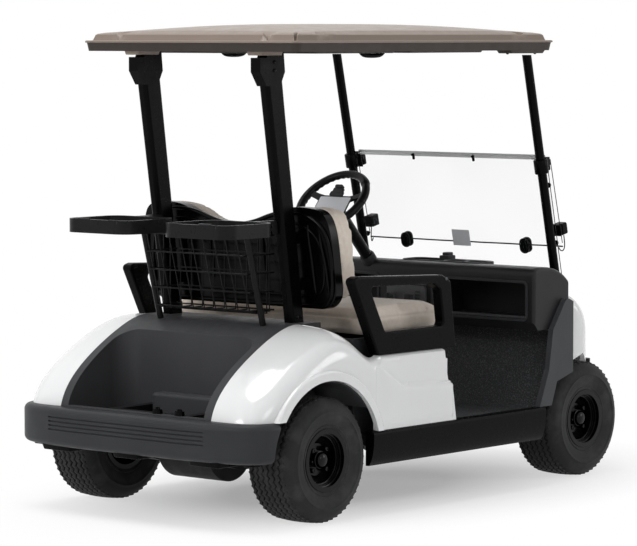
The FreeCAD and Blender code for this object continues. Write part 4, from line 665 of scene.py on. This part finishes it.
for vertex in rest.data.vertices:
    p = vertex.co
    p.x -= min(ahead_of_shell(p), 0.0)
    p.y *= 1.022
    if p.z > 0.95:
        p.z += 0.075 * (p.z - 0.95)
    if p.x > -0.500:
        p.x += 0.014 * clamp((p.z - 0.80) / 0.10)
    p.x = min(p.x, -0.458 + 0.45 * (max(p.z, BENCH_CLEAR) - BENCH_CLEAR))
    p.z = clamp(p.z, BACK_FOOT, back_high[2] + 0.019)
finish_cushion(rest, [
    lambda p, n: ahead_of_shell(p) - 0.052 if n.x < 0.75 else NO_SEAM,
    lambda p, n: p.z - 0.915 - 0.018 * math.cos(p.y * 9.0) if n.x > 0.6 and abs(p.y) > 0.06 else NO_SEAM,
    lambda p, n: abs(p.y) - 0.035 if n.x > 0.6 else NO_SEAM,
], "chassis")
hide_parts("seat_back")

# %% [markdown]
# ## Wheel hardware
# The steel wheel is right in CAD. What it lacks is small: six-sided nuts over the studs, a cap with a domed
# middle, the air valve and the stepped barrel inside the rim. All of it turns with the wheel.

# %% Make nuts, caps and valves
NUT = [(0.0, 0.0), (0.0098, 0.0), (0.0098, 0.0095), (0.0078, 0.0118), (0.0054, 0.0122), (0.0050, 0.0100),
       (0.0, 0.0100)]
CAP = [(0.0, 0.022), (0.010, 0.0215), (0.019, 0.0195), (0.0245, 0.0155), (0.0275, 0.0100), (0.0290, 0.0020),
       (0.0315, 0.0010), (0.0315, -0.0010), (0.0, -0.0010)]
VALVE = [(0.0, 0.0), (0.0055, 0.0), (0.0050, 0.006), (0.0040, 0.008), (0.0040, 0.024), (0.0046, 0.025),
         (0.0046, 0.034), (0.0030, 0.036), (0.0, 0.036)]
BARREL = [(0.1000, 0.0870), (0.0985, 0.0876), (0.0972, 0.0850), (0.0968, 0.0790), (0.0935, 0.0782),
          (0.0930, 0.0715), (0.0896, 0.0708), (0.0890, 0.0640), (0.0852, 0.0632), (0.0845, 0.0560),
          (0.0860, 0.0535), (0.1000, 0.0535)]
STUD_CIRCLE, DISC_FACE, CAP_FOOT = 0.0508, 0.0535, 0.0632
VALVE_SEAT = at(0.078, 0, 0.050) @ Matrix.Rotation(math.radians(-24), 4, "Y")

for end, (wheel_x, wheel_y) in WHEELS.items():
    for side, sign in SIDES:
        axes = frame_at((wheel_x, sign * wheel_y, WHEEL_HEIGHT), (sign, 0, 0), (0, 0, -1))
        parts = [lathe_parts(CAP, 32, axes @ at(z=CAP_FOOT)), lathe_parts(VALVE, 12, axes @ VALVE_SEAT),
                 lathe_parts(BARREL, 72, axes, closed=True)]
        for k in range(4):
            angle = math.pi / 2 * (k + 0.5)
            stud = at(STUD_CIRCLE * math.cos(angle), STUD_CIRCLE * math.sin(angle), DISC_FACE)
            parts.append(lathe_parts(NUT, 6, axes @ stud))
        piece_of("wheel_nuts_%s_%s" % (end, side), *gather(parts), "wheel_black", "wheel_%s_%s" % (end, side),
                 bevel=0.0006)
print("wheels dressed:", len(WHEELS) * len(SIDES))

# %% [markdown]
# ## Steering wheel
# The real rim is soft foam over steel: thick, with finger waves on its far side and a swelling for the thumb.
# It is a ring whose thickness changes with the angle. Three flat spokes widen towards the hub, and a clip
# on the hub holds a blank card.

# %% Make the rim and the spokes
WHEEL_MIDDLE, COLUMN_LEAN = Vector((0.275, 0.27, 1.085)), math.radians(43)
COLUMN_UP = (math.cos(COLUMN_LEAN), 0, math.sin(COLUMN_LEAN))
TOWARDS_DRIVER = Vector((-math.sin(COLUMN_LEAN), 0, math.cos(COLUMN_LEAN)))
steering_axes = frame_at(WHEEL_MIDDLE, (0, -1, 0), COLUMN_UP)
RIM_RADIUS, RIM_THICK, RIM_STEPS, RIM_SIDES = 0.1465, 0.0160, 144, 20
THUMB_AT, THUMB, PALM, FINGER, FINGERS = 40, 0.0026, 0.0012, 0.0013, 36
SPOKE_STATIONS = [(0.030, 0.026, -0.016), (0.060, 0.018, -0.012), (0.100, 0.0135, -0.006),
                  (0.132, 0.0130, -0.0015), (0.150, 0.0150, 0.0)]
SPOKE_ANGLES, SPOKE_HALF = (15, 165, 270), 0.0042


def rim_parts():
    points = []
    for k in range(RIM_STEPS):
        angle = 2 * math.pi * k / RIM_STEPS
        past_thumb = (math.degrees(angle) - THUMB_AT) % 360
        grip = RIM_THICK + THUMB * math.exp(-past_thumb ** 2 / 300) + PALM * max(0.0, math.cos(angle * 2)) ** 2
        for m in range(RIM_SIDES):
            turn = 2 * math.pi * m / RIM_SIDES
            far_side = max(0.0, -math.sin(turn + 0.6))
            thick = grip + FINGER * far_side * math.sin(angle * FINGERS)
            out = RIM_RADIUS + thick * math.cos(turn)
            points.append(steering_axes @ Vector((out * math.cos(angle), out * math.sin(angle),
                                                  thick * 0.94 * math.sin(turn))))
    return points, skin_faces(RIM_STEPS, RIM_SIDES)


def spoke_parts(angle):
    """A flat spoke that widens to the hub and dips a little on its way."""
    axes = steering_axes @ Matrix.Rotation(math.radians(angle), 4, "Z")
    points = [axes @ Vector((out, across * half, height + up * SPOKE_HALF)) for out, half, height in SPOKE_STATIONS
              for across, up in ((-1, 1), (1, 1), (1, -1), (-1, -1))]
    last = len(points) - 4
    ends = [tuple(range(4)), tuple(range(last, last + 4))]
    return points, skin_faces(len(SPOKE_STATIONS), 4, rows_closed=False) + ends


wheel_rim = piece_of("steering_rim", *rim_parts(), "black_steel", "steering_wheel")
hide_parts("steering_wheel")
piece_of("steering_spokes", *gather([spoke_parts(angle) for angle in SPOKE_ANGLES]), "black_steel",
         "steering_wheel", bevel=0.0022)
print("steering wheel radius:", RIM_RADIUS)

# %% Make the hub, the card and the column's collar
HUB = [(0.0, 0.006), (0.018, 0.0055), (0.030, 0.0035), (0.037, -0.0010), (0.040, -0.0070), (0.043, -0.0090),
       (0.045, -0.0140), (0.044, -0.0400), (0.0, -0.0400)]
COLLAR = [(0.0, 0.0), (0.029, 0.0), (0.031, 0.004), (0.031, 0.030), (0.027, 0.038), (0.0, 0.038)]
COLLAR_DOWN = 0.345
card_axes = steering_axes @ at(0.024, 0.010, 0.014) @ Matrix.Rotation(math.radians(8), 4, "X")
card_clip = [tablet(0.066, 0.022, 0.006, 0.009, card_axes @ at(y=0.008, z=0.002)),
             tablet(0.050, 0.026, 0.008, 0.012, card_axes @ at(y=0.024)),
             tablet(0.036, 0.014, 0.005, 0.018, card_axes @ at(y=0.040))]
column_axes = frame_at(WHEEL_MIDDLE - TOWARDS_DRIVER * COLLAR_DOWN, (0, -1, 0), COLUMN_UP)
for name, parts, finish, bevel in (
        ("steering_hub", lathe_parts(HUB, 40, steering_axes), "black_moulding", 0.0),
        ("card_board", tablet(0.164, 0.108, 0.008, 0.0026, card_axes @ at(y=-0.052)), "black_moulding", 0.0007),
        ("blank_card", tablet(0.154, 0.098, 0.004, 0.0009, card_axes @ at(y=-0.054, z=0.0028)), "card", 0.0),
        ("card_clip", gather(card_clip), "black_moulding", 0.0020)):
    piece_of(name, *parts, finish, "steering_wheel", bevel, part_slot="black_steel")
piece_of("column_collar", *lathe_parts(COLLAR, 32, column_axes), "black_moulding", part_slot="black_steel")
print("hub, card and collar made")

# %% [markdown]
# ## The roof
# The roof is one big vacuum-formed moulding. CAD has its size and its hollow form. What shows in a photograph
# is the profile of its edge: a skirt, a thin flange, a rain channel, a steep wall and then a low crown,
# with a notch at each corner where the rain runs off. The skirt and the underside get a darker taupe than the
# roof as painted shade. Here that profile is carried round the outline in rings, and the crown is closed with
# smaller and smaller rings.

# %% The outline and the rain notches
ROOF_LOW, ROOF_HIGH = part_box("roof")
ROOF_X = (ROOF_LOW[0] + ROOF_HIGH[0]) / 2
ROOF_HALF = ((ROOF_HIGH[0] - ROOF_LOW[0]) / 2, ROOF_HIGH[1])
ROOF_CORNER, CORNER_STEPS, SIDE_STEPS = 0.040, 8, 48


def roof_outline(inset):
    """A rounded rectangle with more points near its corners, so that small notches can be cut there."""
    corner = max(ROOF_CORNER - inset, 0.012)
    outline = round_outline(2 * (ROOF_HALF[0] - inset), 2 * (ROOF_HALF[1] - inset), corner, CORNER_STEPS)
    arcs = [outline[k * (CORNER_STEPS + 1):(k + 1) * (CORNER_STEPS + 1)] for k in range(4)]
    points = []
    for arc, next_arc in zip(arcs, arcs[1:] + arcs[:1]):
        (x0, y0), (x1, y1) = arc[-1], next_arc[0]
        points += arc
        for k in range(1, SIDE_STEPS):
            share = (1 - math.cos(math.pi * k / SIDE_STEPS)) / 2
            points.append((x0 + (x1 - x0) * share, y0 + (y1 - y0) * share))
    return points


def notch(x, y):
    """How deep the rain notches are at a place on the edge, from 0 to 1."""
    from_end, from_side = ROOF_HALF[0] - abs(x), ROOF_HALF[1] - abs(y)
    corner = math.exp(-((from_end - from_side) / 0.007) ** 2) if max(from_end, from_side) < 0.12 else 0.0
    along_side = math.exp(-((from_end - 0.185) / 0.010) ** 2) if from_side < 0.10 else 0.0
    along_end = math.exp(-((from_side - 0.165) / 0.010) ** 2) if from_end < 0.10 else 0.0
    return max(corner, along_side, along_end)


print("points round the roof:", len(roof_outline(0.0)))

# %% Carry the edge profile round the roof
EDGE = [(0.120, 1.6880), (0.062, 1.6860), (0.050, 1.6795), (0.026, 1.6775), (0.014, 1.6775), (0.0075, 1.7060),
        (0.0050, 1.7082), (0.0010, 1.7085), (0.0, 1.7095), (0.0, 1.7130), (0.0015, 1.7155), (0.0050, 1.7165),
        (0.0145, 1.7165), (0.0180, 1.7135), (0.0235, 1.7135), (0.0270, 1.7175), (0.0330, 1.7370),
        (0.0380, 1.7410), (0.0460, 1.7430)]
PAINTED_SHADE_RINGS, FIRST_NOTCHED = 7, 15
CHANNEL, CROWN_FOOT, CROWN_TOP = 1.7140, EDGE[-1][1], ROOF_HIGH[2] - 0.0006
CROWN_SHARES = (0.975, 0.94, 0.90, 0.85, 0.78, 0.70, 0.60, 0.49, 0.37, 0.25, 0.13, 0.04)


def edge_ring(index, inset, z):
    """One ring of the edge, drawn in and down at the notches where it is one of the upper rings."""
    ring = []
    for x, y in roof_outline(inset):
        deep = notch(x, y) if index >= FIRST_NOTCHED else 0.0
        pull = 1 - 0.010 * deep * (index - FIRST_NOTCHED + 1) / 3
        ring.append((x * pull, y * pull, z - (z - CHANNEL) * 0.92 * deep))
    return ring


def crown_ring(edge, share):
    """A smaller ring that lies on the crown."""
    ring = []
    for x, y, z in edge:
        along, across = abs(x * share) / ROOF_HALF[0], abs(y * share) / ROOF_HALF[1]
        rise = CROWN_FOOT + (CROWN_TOP - CROWN_FOOT) * (1 - along ** 3.2) * (1 - across ** 2.6)
        fade = max(0.0, (share - 0.93) / 0.07)
        ring.append((x * share, y * share, rise + (z - CROWN_FOOT) * fade))
    return ring


roof_rings = [edge_ring(index, *place) for index, place in enumerate(EDGE)]
roof_rings += [crown_ring(roof_rings[-1], share) for share in CROWN_SHARES]
points = [(x + ROOF_X, y, z) for ring in roof_rings for x, y, z in ring]
count = len(roof_rings[0])
underside, top = tuple(range(count)), tuple(range(len(points) - count, len(points)))
faces = skin_faces(len(roof_rings), count, rows_closed=False) + [underside, top]
roof_skin = piece_of("roof_skin", points, faces, "roof_beige", sharp=32)
# The skirt rings and the underside face take the darker taupe: painted shade.
roof_skin.data.materials.append(FINISHES["roof_under"].material)
for number, face in enumerate(roof_skin.data.polygons):
    face.material_index = int(number < PAINTED_SHADE_RINGS * count or number == len(faces) - 2)
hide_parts("roof")
print("roof faces:", len(faces))

# %% Sockets, stiffeners and grips under the roof
sockets, plates, roof_screws = [], [], []
for side, sign in SIDES:
    sockets.append(block_parts((-0.842, -0.716), (sign * 0.262, sign * 0.340), (1.6640, 1.6860), 0.90))
    plates.append(block_parts((0.392, 0.628), (sign * 0.438, sign * 0.516), (1.6660, 1.6860), 0.86))
    roof_screws += [(x, sign * 0.477, 1.6662) for x in (0.425, 0.600)]
stiffeners = [block_parts(xs, (-0.430, 0.430), (1.6700, 1.6882), 0.97)
              for xs in ((-0.640, -0.180), (-0.100, 0.350))]
piece_of("strut_sockets", *gather(sockets), "roof_beige", bevel=0.0025)
# The plates and stiffeners under the roof take the darker taupe as painted shade.
piece_of("post_sockets", *gather(plates), "roof_under", bevel=0.0025, part_slot="roof_beige")
piece_of("roof_stiffeners", *gather(stiffeners), "roof_under", bevel=0.0030, part_slot="roof_beige")
GRIP_MIDDLE = -0.225
GRIP_LINE = [(-0.078, 1.690), (-0.066, 1.672), (-0.040, 1.6605), (0.040, 1.6605), (0.066, 1.672), (0.078, 1.690)]
for side, sign in SIDES:
    grip = [(GRIP_MIDDLE + x, sign * 0.342, z) for x, z in GRIP_LINE]
    roof_grip = bar("roof_grip_" + side, grip, 0.0090, "black_satin")
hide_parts("roof_handles")
print("roof screws:", len(roof_screws))

# %% [markdown]
# ## Body mouldings
# Some body panels are shaped a little further here than in CAD, always within the CAD box: the floor of the
# bag well drops behind the bumper, the front cowl and its bumper narrow towards the nose, so that the front
# tyres show, and the side panel has a raised lower field with a soft edge.

# %% Shape the body mouldings
def reshaped(name, node, move, cut_x=None):
    """A copy of a CAD part with its points moved by a rule, put in that part's place."""
    mesh = nodes[node].data.copy()
    if cut_x is not None:
        form = bmesh.new()
        form.from_mesh(mesh)
        bmesh.ops.bisect_plane(form, geom=form.verts[:] + form.edges[:] + form.faces[:], plane_co=(cut_x, 0, 0),
                               plane_no=(1, 0, 0))
        form.to_mesh(mesh)
        form.free()
    for vertex in mesh.vertices:
        vertex.co = move(vertex.co)
    mesh.set_sharp_from_angle(angle=math.radians(30))
    piece = put(name, mesh)
    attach(piece, "chassis")
    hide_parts(node)


def smooth_step(value, low, high):
    share = clamp((value - low) / (high - low))
    return share * share * (3 - 2 * share)


def drop_floor(p):
    if p.z < 0.400 and p.x > -1.120 and abs(p.y) < 0.365:
        p.z -= 0.072
    return p


def narrow_nose(p):
    p.y *= 1 - 0.25 * smooth_step(p.x, 0.74, 1.02)
    return p


reshaped("well_moulding", "bag_well", drop_floor, -1.125)
reshaped("cowl_moulding", "front_cowl", narrow_nose)
reshaped("nose_bumper", "front_bumper", lambda p: Vector((p.x, p.y * 0.80, p.z)))
print("body mouldings shaped")

# %% Raise the side panel's lower field
RIDGE = [(-0.520, 0.585), (-0.431, 0.522), (-0.348, 0.470), (-0.300, 0.466), (-0.040, 0.457)]
ACROSS, UP = 84, 44
PANEL_BACK, PANEL_FACE, SWELL = 0.5760, 0.5815, 0.0175


def panel_swell(x, z):
    """How far the side panel swells out below its ridge line, from 0 to 1."""
    for (x0, z0), (x1, z1) in zip(RIDGE, RIDGE[1:]):
        if x <= x1:
            break
    ridge = z0 + (z1 - z0) * (x - x0) / (x1 - x0)
    below = smooth_step(ridge - z, -0.010, 0.020)
    edges = smooth_step(x, -0.505, -0.400) * smooth_step(z, 0.306, 0.345) * smooth_step(-x, 0.050, 0.064)
    return below * (0.5 + 0.5 * edges)


places = []
for j in range(UP + 1):
    z = 0.312 + 0.230 * j / UP
    reach = 0.449 - 0.024 * smooth_step(z, 0.446, 0.456)
    places += [(-0.500 + reach * i / ACROSS, z) for i in range(ACROSS + 1)]
row, whole = ACROSS + 1, len(places)
grid = skin_faces(UP + 1, row, rows_closed=False, row_closed=False)
rim = list(range(ACROSS)) + [j * row + ACROSS for j in range(UP)]
rim += [whole - 1 - k for k in rim]
sides = [(a, b, whole + b, whole + a) for a, b in zip(rim, rim[1:] + rim[:1])]
faces = grid + [tuple(whole + k for k in face) for face in grid] + sides
for side, sign in SIDES:
    face = [(x, sign * (PANEL_FACE + SWELL * panel_swell(x, z)), z) for x, z in places]
    back = [(x, sign * PANEL_BACK, z) for x, z in places]
    piece_of("panel_swell_" + side, face + back, faces, "body_white", sharp=50)
print("side panel faces:", len(faces))

# %% Brackets under the bumper and strap buckles
brackets, buckles = [block_parts((-1.196, -1.096), (-0.066, 0.066), (0.2290, 0.2520), 0.92)], []
for side, sign in SIDES:
    brackets.append(block_parts((-1.182, -1.046), (sign * 0.285, sign * 0.440), (0.2265, 0.2520), 0.90))
    brackets.append(block_parts((-1.118, -1.070), (sign * 0.490, sign * 0.542), (0.2330, 0.2560), 0.94))
for y in (-0.098, -0.205):
    buckles.append(block_parts((-1.142, -1.116), (y - 0.017, y + 0.017), (0.3905, 0.4080), 1.12))
    buckles.append(block_parts((-1.137, -1.121), (y - 0.009, y + 0.009), (0.4060, 0.4150), 1.15))
piece_of("bumper_brackets", *gather(brackets), "black_satin", bevel=0.0030, part_slot="frame_metal")
piece_of("strap_buckles", *gather(buckles), "black_satin", bevel=0.0018, part_slot="black_moulding")
print("brackets:", len(brackets), "buckles:", len(buckles) // 2)

# %% [markdown]
# ## The folding screen's hardware
# The screen is two clear sheets. What makes them readable is their hardware: a pale rail on both top edges,
# a dark bead on the free edge with two rubber bumpers, box-shaped holders that grip the folded sheet, clamps
# on the posts and small knobs through the sheet. All of them follow the lean of the posts.

# %% Rails, bead and edges
POST_FOOT, POST_TOP, POST_Y = (0.753, 0.744), (0.540, 1.690), 0.477
POST_SLOPE = (POST_TOP[0] - POST_FOOT[0]) / (POST_TOP[1] - POST_FOOT[1])


def post_x(z):
    """The middle of the front posts at a height."""
    return POST_FOOT[0] + POST_SLOPE * (z - POST_FOOT[1])


def lean_axes(depth, y, z):
    """Axes ahead of the leaning posts: X to the cart's right, Y up along the sheet, Z towards the seat."""
    return frame_at((post_x(z) + depth, y, z), (0, -1, 0), (POST_SLOPE, 0, 1))


RAIL_HALF, RAIL_HIGH = 0.470, 0.0055
rail_parts = []
for z, depth in ((1.258, 0.022), (1.266, 0.044)):
    for high, thick, sunk in ((RAIL_HIGH, 0.0035, -0.0010), (RAIL_HIGH * 0.45, 0.0060, -0.0020)):
        outline = [(RAIL_HALF, -high), (RAIL_HALF, high), (-RAIL_HALF, high), (-RAIL_HALF, -high)]
        rail_parts.append(plate_parts(outline, thick, lean_axes(depth, 0, z) @ at(z=sunk)))
piece_of("screen_rails", *gather(rail_parts), "rail", bevel=0.0012, part_slot="panel_grey")
FREE_EDGE, SHEET_HALF = 0.911, 0.4870
bead = [(post_x(FREE_EDGE) + 0.0605 + 0.0008 * math.sin(k * 1.7), -0.486 + 0.972 * k / 12,
         FREE_EDGE + 0.0006 * math.sin(k * 2.3)) for k in range(13)]
bar("free_edge_bead", bead, 0.0030, "black_steel")
SHEETS = (("lower", 0.0285, 0.770, 1.250, 0.0), ("folded", 0.0505, 0.925, 1.255, 0.010))
for side, sign in SIDES:
    for name, near, low, high, lean_out in SHEETS:
        edge = [(post_x(z) + near + lean_out * (1.272 - z) / 0.36, sign * SHEET_HALF, z) for z in
                (low, (low + high) / 2, high)]
        bar("%s_sheet_edge_%s" % (name, side), edge, 0.0016, "black_steel")
print("screen edges made")

# %% Bumpers, holders, clamps and knobs
KNOB = [(0.0, 0.0), (0.0070, 0.0), (0.0070, 0.0085), (0.0100, 0.0095), (0.0108, 0.0125), (0.0104, 0.0175),
        (0.0080, 0.0205), (0.0, 0.0215)]
CLAMP = [(0.0192, -0.028), (0.0262, -0.028), (0.0278, -0.025), (0.0278, 0.025), (0.0262, 0.028), (0.0192, 0.028)]
bumper_parts, tabs = [], []
for y in (0.297, -0.304):
    axes = lean_axes(0.0585, y, 0.907)
    bumper_parts += [tablet(0.042, 0.062, 0.019, 0.010, axes), tablet(0.034, 0.052, 0.016, 0.017, axes),
                     tablet(0.012, 0.040, 0.005, 0.022, axes),
                     tablet(0.042, 0.062, 0.019, 0.012, axes @ at(z=-0.019))]
for y in (0.168, -0.134):
    axes = lean_axes(0.022, y, 1.252)
    tabs += [tablet(0.009, 0.026, 0.003, 0.007, axes), tablet(0.013, 0.008, 0.002, 0.010, axes @ at(y=0.007))]
holder_parts, knob_parts, clamp_parts = [], [], []
for side, sign in SIDES:
    axes = lean_axes(0.0560, sign * POST_Y, 0.976)
    holder_parts += [tablet(0.040, 0.046, 0.007, 0.010, axes),
                     tablet(0.040, 0.046, 0.007, 0.030, axes @ at(z=-0.036)),
                     tablet(0.012, 0.046, 0.004, 0.040, axes @ at(sign * 0.016, 0, -0.034)),
                     tablet(0.026, 0.030, 0.005, 0.008, axes @ at(z=-0.043))]
    for z in (0.926, 1.153):
        axes = frame_at((post_x(z) + 0.0175, sign * POST_Y, z), (0, 1, 0), (0, 0, 1))
        knob_parts.append(lathe_parts(KNOB, 20, axes))
    round_post = frame_at((post_x(1.228), sign * POST_Y, 1.228), (1, 0, -POST_SLOPE), (0, 1, 0))
    ear = lean_axes(0.034, sign * 0.4640, 1.232)
    clamp_parts += [lathe_parts(CLAMP, 28, round_post, closed=True),
                    tablet(0.034, 0.052, 0.008, 0.014, ear @ at(z=-0.020)),
                    tablet(0.020, 0.034, 0.006, 0.010, ear @ at(z=-0.0275))]
    x = post_x(0.93) + 0.066
    hook = [(x + 0.004, sign * 0.487, 0.955), (x + 0.006, sign * 0.490, 0.930), (x + 0.006, sign * 0.490, 0.905),
            (x + 0.002, sign * 0.484, 0.892), (x - 0.004, sign * 0.474, 0.896), (x - 0.005, sign * 0.470, 0.907)]
    bar("sheet_hook_" + side, hook, 0.0022, "black_steel")
for name, parts, bevel in (("edge_bumpers", bumper_parts, 0.0022), ("sheet_holders", holder_parts, 0.0018),
                           ("sheet_knobs", knob_parts, 0.0006), ("post_clamps", clamp_parts, 0.0016),
                           ("rail_tabs", tabs, 0.0008)):
    piece_of(name, *gather(parts), "black_satin", bevel=bevel, part_slot="black_steel")
label_axes = lean_axes(0.0558, 0.010, 0.926)
piece_of("blank_label", *tablet(0.088, 0.066, 0.003, 0.0006, label_axes), "card", part_slot="clear_pane")
print("screen hardware made")

# %% [markdown]
# ## Dashboard details
# The two bins have a raised lip round their mouths, and the cup holders have a rubber ring with three soft
# fingers. The switch panel gets a ribbed knob, a rocker switch in a frame, air slots and a small tray.

# %% Dress the bins and the cup holders
DASH_FACE, BIN_MIDDLE, BIN_HIGH, LIP, INSET = 0.490, 0.7145, 0.137, 0.011, 0.004
CUP_X, CUP_TOP = 0.610, 0.846
CUP_RING = [(0.0405, -0.004), (0.0410, 0.0006), (0.0445, 0.0022), (0.0500, 0.0022), (0.0525, 0.0008),
            (0.0528, -0.003)]


def dash_axes(y, z, out=0.0):
    """Axes on the dashboard's face: X to the cart's right, Y up, Z towards the seat."""
    return frame_at((DASH_FACE - out, y, z), (0, -1, 0), (0, 0, 1))


lips, shelves, rings = [], [], []
for y_low, y_high in ((-0.520, -0.069), (0.215, 0.520)):
    middle, width = (y_low + y_high) / 2, y_high - y_low
    lips.append(ring_parts(round_outline(width + 2 * LIP, BIN_HIGH + 2 * LIP, 0.024),
                           round_outline(width, BIN_HIGH, 0.014), 0.0060, dash_axes(middle, BIN_MIDDLE, -0.001)))
    half = width / 2 - INSET
    outline = [(-half, 0.0), (half, 0.0), (half, 0.010), (-half, 0.010)]
    shelves.append(plate_parts(outline, 0.012, dash_axes(middle, 0.6465, -0.012)))
for y in (-0.090, -0.194):
    rings.append(lathe_parts(CUP_RING, 44, at(CUP_X, y, CUP_TOP), closed=True))
    for k in range(3):
        turn = Matrix.Rotation(math.radians(120 * k + 30), 4, "Z")
        rings.append(tablet(0.0140, 0.018, 0.004, 0.006, at(CUP_X, y, CUP_TOP - 0.018) @ turn @ at(0.0330)))
piece_of("bin_lips", *gather(lips), "black_moulding", bevel=0.0022)
piece_of("bin_shelf_edges", *gather(shelves), "grey_moulding", bevel=0.0020)
piece_of("cup_rings", *gather(rings), "black_moulding", bevel=0.0008)
print("bins and cup holders dressed")

# %% Dress the switch panel
PANEL, KNOB_Y, SWITCH_Y, SWITCH_Z = 0.0285, 0.129, 0.031, 0.7025
knob_axes, switch_axes = dash_axes(KNOB_Y, SWITCH_Z, 0.040), dash_axes(SWITCH_Y, SWITCH_Z, PANEL)
tray_axes = dash_axes(0.062, 0.768, -0.004)
lobes = []
for k in range(24):
    radius, angle = 0.0150 * (1 + 0.05 * (k % 2)), math.pi * k / 12
    lobes.append((radius * math.cos(angle), radius * math.sin(angle)))
knob_parts = [plate_parts(lobes, 0.0075, knob_axes), tablet(0.007, 0.030, 0.003, 0.0125, knob_axes)]
frames = [ring_parts(round_outline(0.052, 0.036, 0.006), round_outline(0.044, 0.028, 0.004), 0.003, switch_axes),
          ring_parts(round_outline(0.040, 0.040, 0.019), round_outline(0.034, 0.034, 0.016), 0.002,
                     dash_axes(KNOB_Y, SWITCH_Z, PANEL))]
rocker = [(-0.021, -0.013), (0.021, -0.013), (0.021, 0.013), (-0.021, 0.013)]
pressed = [(u * 0.46 - 0.010, v * 0.9) for u, v in rocker]
switch_parts = [plate_parts(rocker, 0.0052, switch_axes), plate_parts(pressed, 0.0085, switch_axes)]
switch_parts += [tablet(0.024, 0.0060, 0.002, 0.0022, dash_axes(-0.012, 0.677 + 0.0125 * k, PANEL))
                 for k in range(5)]
tray = [ring_parts(round_outline(0.196, 0.030, 0.007), round_outline(0.184, 0.018, 0.004), 0.016, tray_axes)]
tray += [tablet(0.050, 0.014, 0.003, 0.010, tray_axes @ at(0.060 * k)) for k in (-1, 0, 1)]
piece_of("panel_knob", *gather(knob_parts), "black_moulding", bevel=0.0012, part_slot="panel_grey")
piece_of("panel_frames", *gather(frames), "panel_grey", bevel=0.0007)
piece_of("panel_switch", *gather(switch_parts), "black_moulding", bevel=0.0008, part_slot="panel_grey")
piece_of("panel_tray", *gather(tray), "panel_grey", bevel=0.0012)
tray_edge = ring_parts(round_outline(0.128, 0.400, 0.040), round_outline(0.108, 0.380, 0.032), 0.0240,
                       at(0.612, -0.045, 0.8240))
piece_of("dash_tray_edge", *tray_edge, "dash_moulding", bevel=0.0030, part_slot="black_moulding")
block = [tablet(0.060, 0.044, 0.010, 0.022, at(0.672, 0.005, 0.8385)),
         tablet(0.040, 0.030, 0.008, 0.034, at(0.674, 0.005, 0.8385))]
piece_of("screen_rest", *gather(block), "black_moulding", bevel=0.0040)
print("dashboard dressed")

# %% [markdown]
# ## Back shell, rack and armrests
# The plastic shell behind the back rest is glossy, with a rolled flange round its edge and upright ribs that
# stiffen it. The bag rack's flat bands end in rubber hooks for the straps, and everything is held by
# low round-headed bolts.

# %% Rib the back shell
SHELL_X, SHELL_FOOT = -0.562, 0.744
RIBS = ((0.130, 0.84, 1.005, 0.0), (0.236, 0.80, 1.045, 0.0), (0.352, 0.80, 1.050, 0.018),
        (0.405, 0.81, 1.020, 0.034))


def shell_x(z):
    """The shell's rear face at a height."""
    return SHELL_X - BACK_SLOPE * (z - SHELL_FOOT)


def hump_line(inset, lift=0.0):
    """The outline of the shell seen from behind, pulled in by an inset."""
    half, hump, valley, foot = 0.462 - inset, 1.106 - inset, 1.050 - inset, SHELL_FOOT + inset
    places = [(0.0, valley), (half * 0.20, valley + 0.010), (half * 0.45, hump - 0.006), (half * 0.68, hump),
              (half * 0.86, hump - 0.022), (half * 0.975, hump - 0.075), (half, hump - 0.150),
              (half, foot + 0.130), (half * 0.985, foot + 0.045), (half * 0.90, foot), (half * 0.70, foot),
              (half * 0.30, foot), (0.0, foot)]
    full = places + [(-y, z) for y, z in reversed(places[1:-1])]
    return [(shell_x(z) - lift, y, z) for y, z in full]


bar("shell_flange", hump_line(0.010, 0.001), 0.0085, "shell_gloss", closed=True)
bar("shell_inner_roll", hump_line(0.046), 0.0055, "shell_gloss", closed=True)
for k, (y, low, high, reach) in enumerate(RIBS):
    stations = ((low, 0.6, 0.002), (low + 0.03, 0.7, -0.004), ((low + high) / 2, 0.6, -0.004),
                (high - 0.03, 0.1, -0.004), (high, 0.0, 0.002))
    for side, sign in SIDES:
        rib = [(shell_x(z) + proud, sign * (y + reach * share), z) for z, share, proud in stations]
        bar("shell_rib_%d_%s" % (k, side), rib, 0.0060, "shell_gloss")
print("shell ribs:", len(RIBS) * len(SIDES))

# %% Bolts, hooks and armrest caps
BOLT = [(0.0, 0.0), (0.0070, 0.0), (0.0070, 0.0012), (0.0058, 0.0036), (0.0030, 0.0050), (0.0, 0.0053)]
STRUT_BOLTS = ((-0.752, 1.640), (-0.752, 1.610), (-0.628, 0.716), (-0.604, 0.716))


def bolts(name, places, towards, finish="black_steel", size=1.0):
    """Low round bolt heads at places, all facing one way."""
    right = (0, 0, 1) if abs(towards[2]) < 0.9 else (1, 0, 0)
    up = Vector(towards).cross(Vector(right))
    head = [(radius * size, height * size) for radius, height in BOLT]
    parts = [lathe_parts(head, 14, frame_at(place, right, up)) for place in places]
    piece_of(name, *gather(parts), finish, part_slot="black_steel")


bolts("rack_bolts", [(-0.8265, sign * y, z) for side, sign in SIDES for y in (0.110, 0.372)
                     for z in (1.033, 1.057)], (1, 0, 0))
hooks = []
for side, sign in SIDES:
    bolts("strut_bolts_" + side, [(x, sign * 0.3235, z) for x, z in STRUT_BOLTS], (0, sign, 0))
    bolts("armrest_cap_" + side, [(-0.073, sign * 0.5740, 0.836)], (0, sign, 0), "panel_grey", 0.8)
    for y in (0.150, 0.330):
        axes = frame_at((-1.1005, sign * y, 1.058), (0, -1, 0), (0, 0, 1))
        hooks.append(tablet(0.046, 0.016, 0.004, 0.0085, axes @ at(0, 0.0055, -0.010)))
    hooks.append(tablet(0.012, 0.058, 0.004, 0.0055, at(-1.094, sign * 0.298, 1.0695)))
piece_of("rack_hooks", *gather(hooks), "black_moulding", bevel=0.0012, part_slot="black_steel")
bolts("roof_screws", roof_screws, (0, 0, -1), size=0.8)
print("shell, rack and armrests dressed")
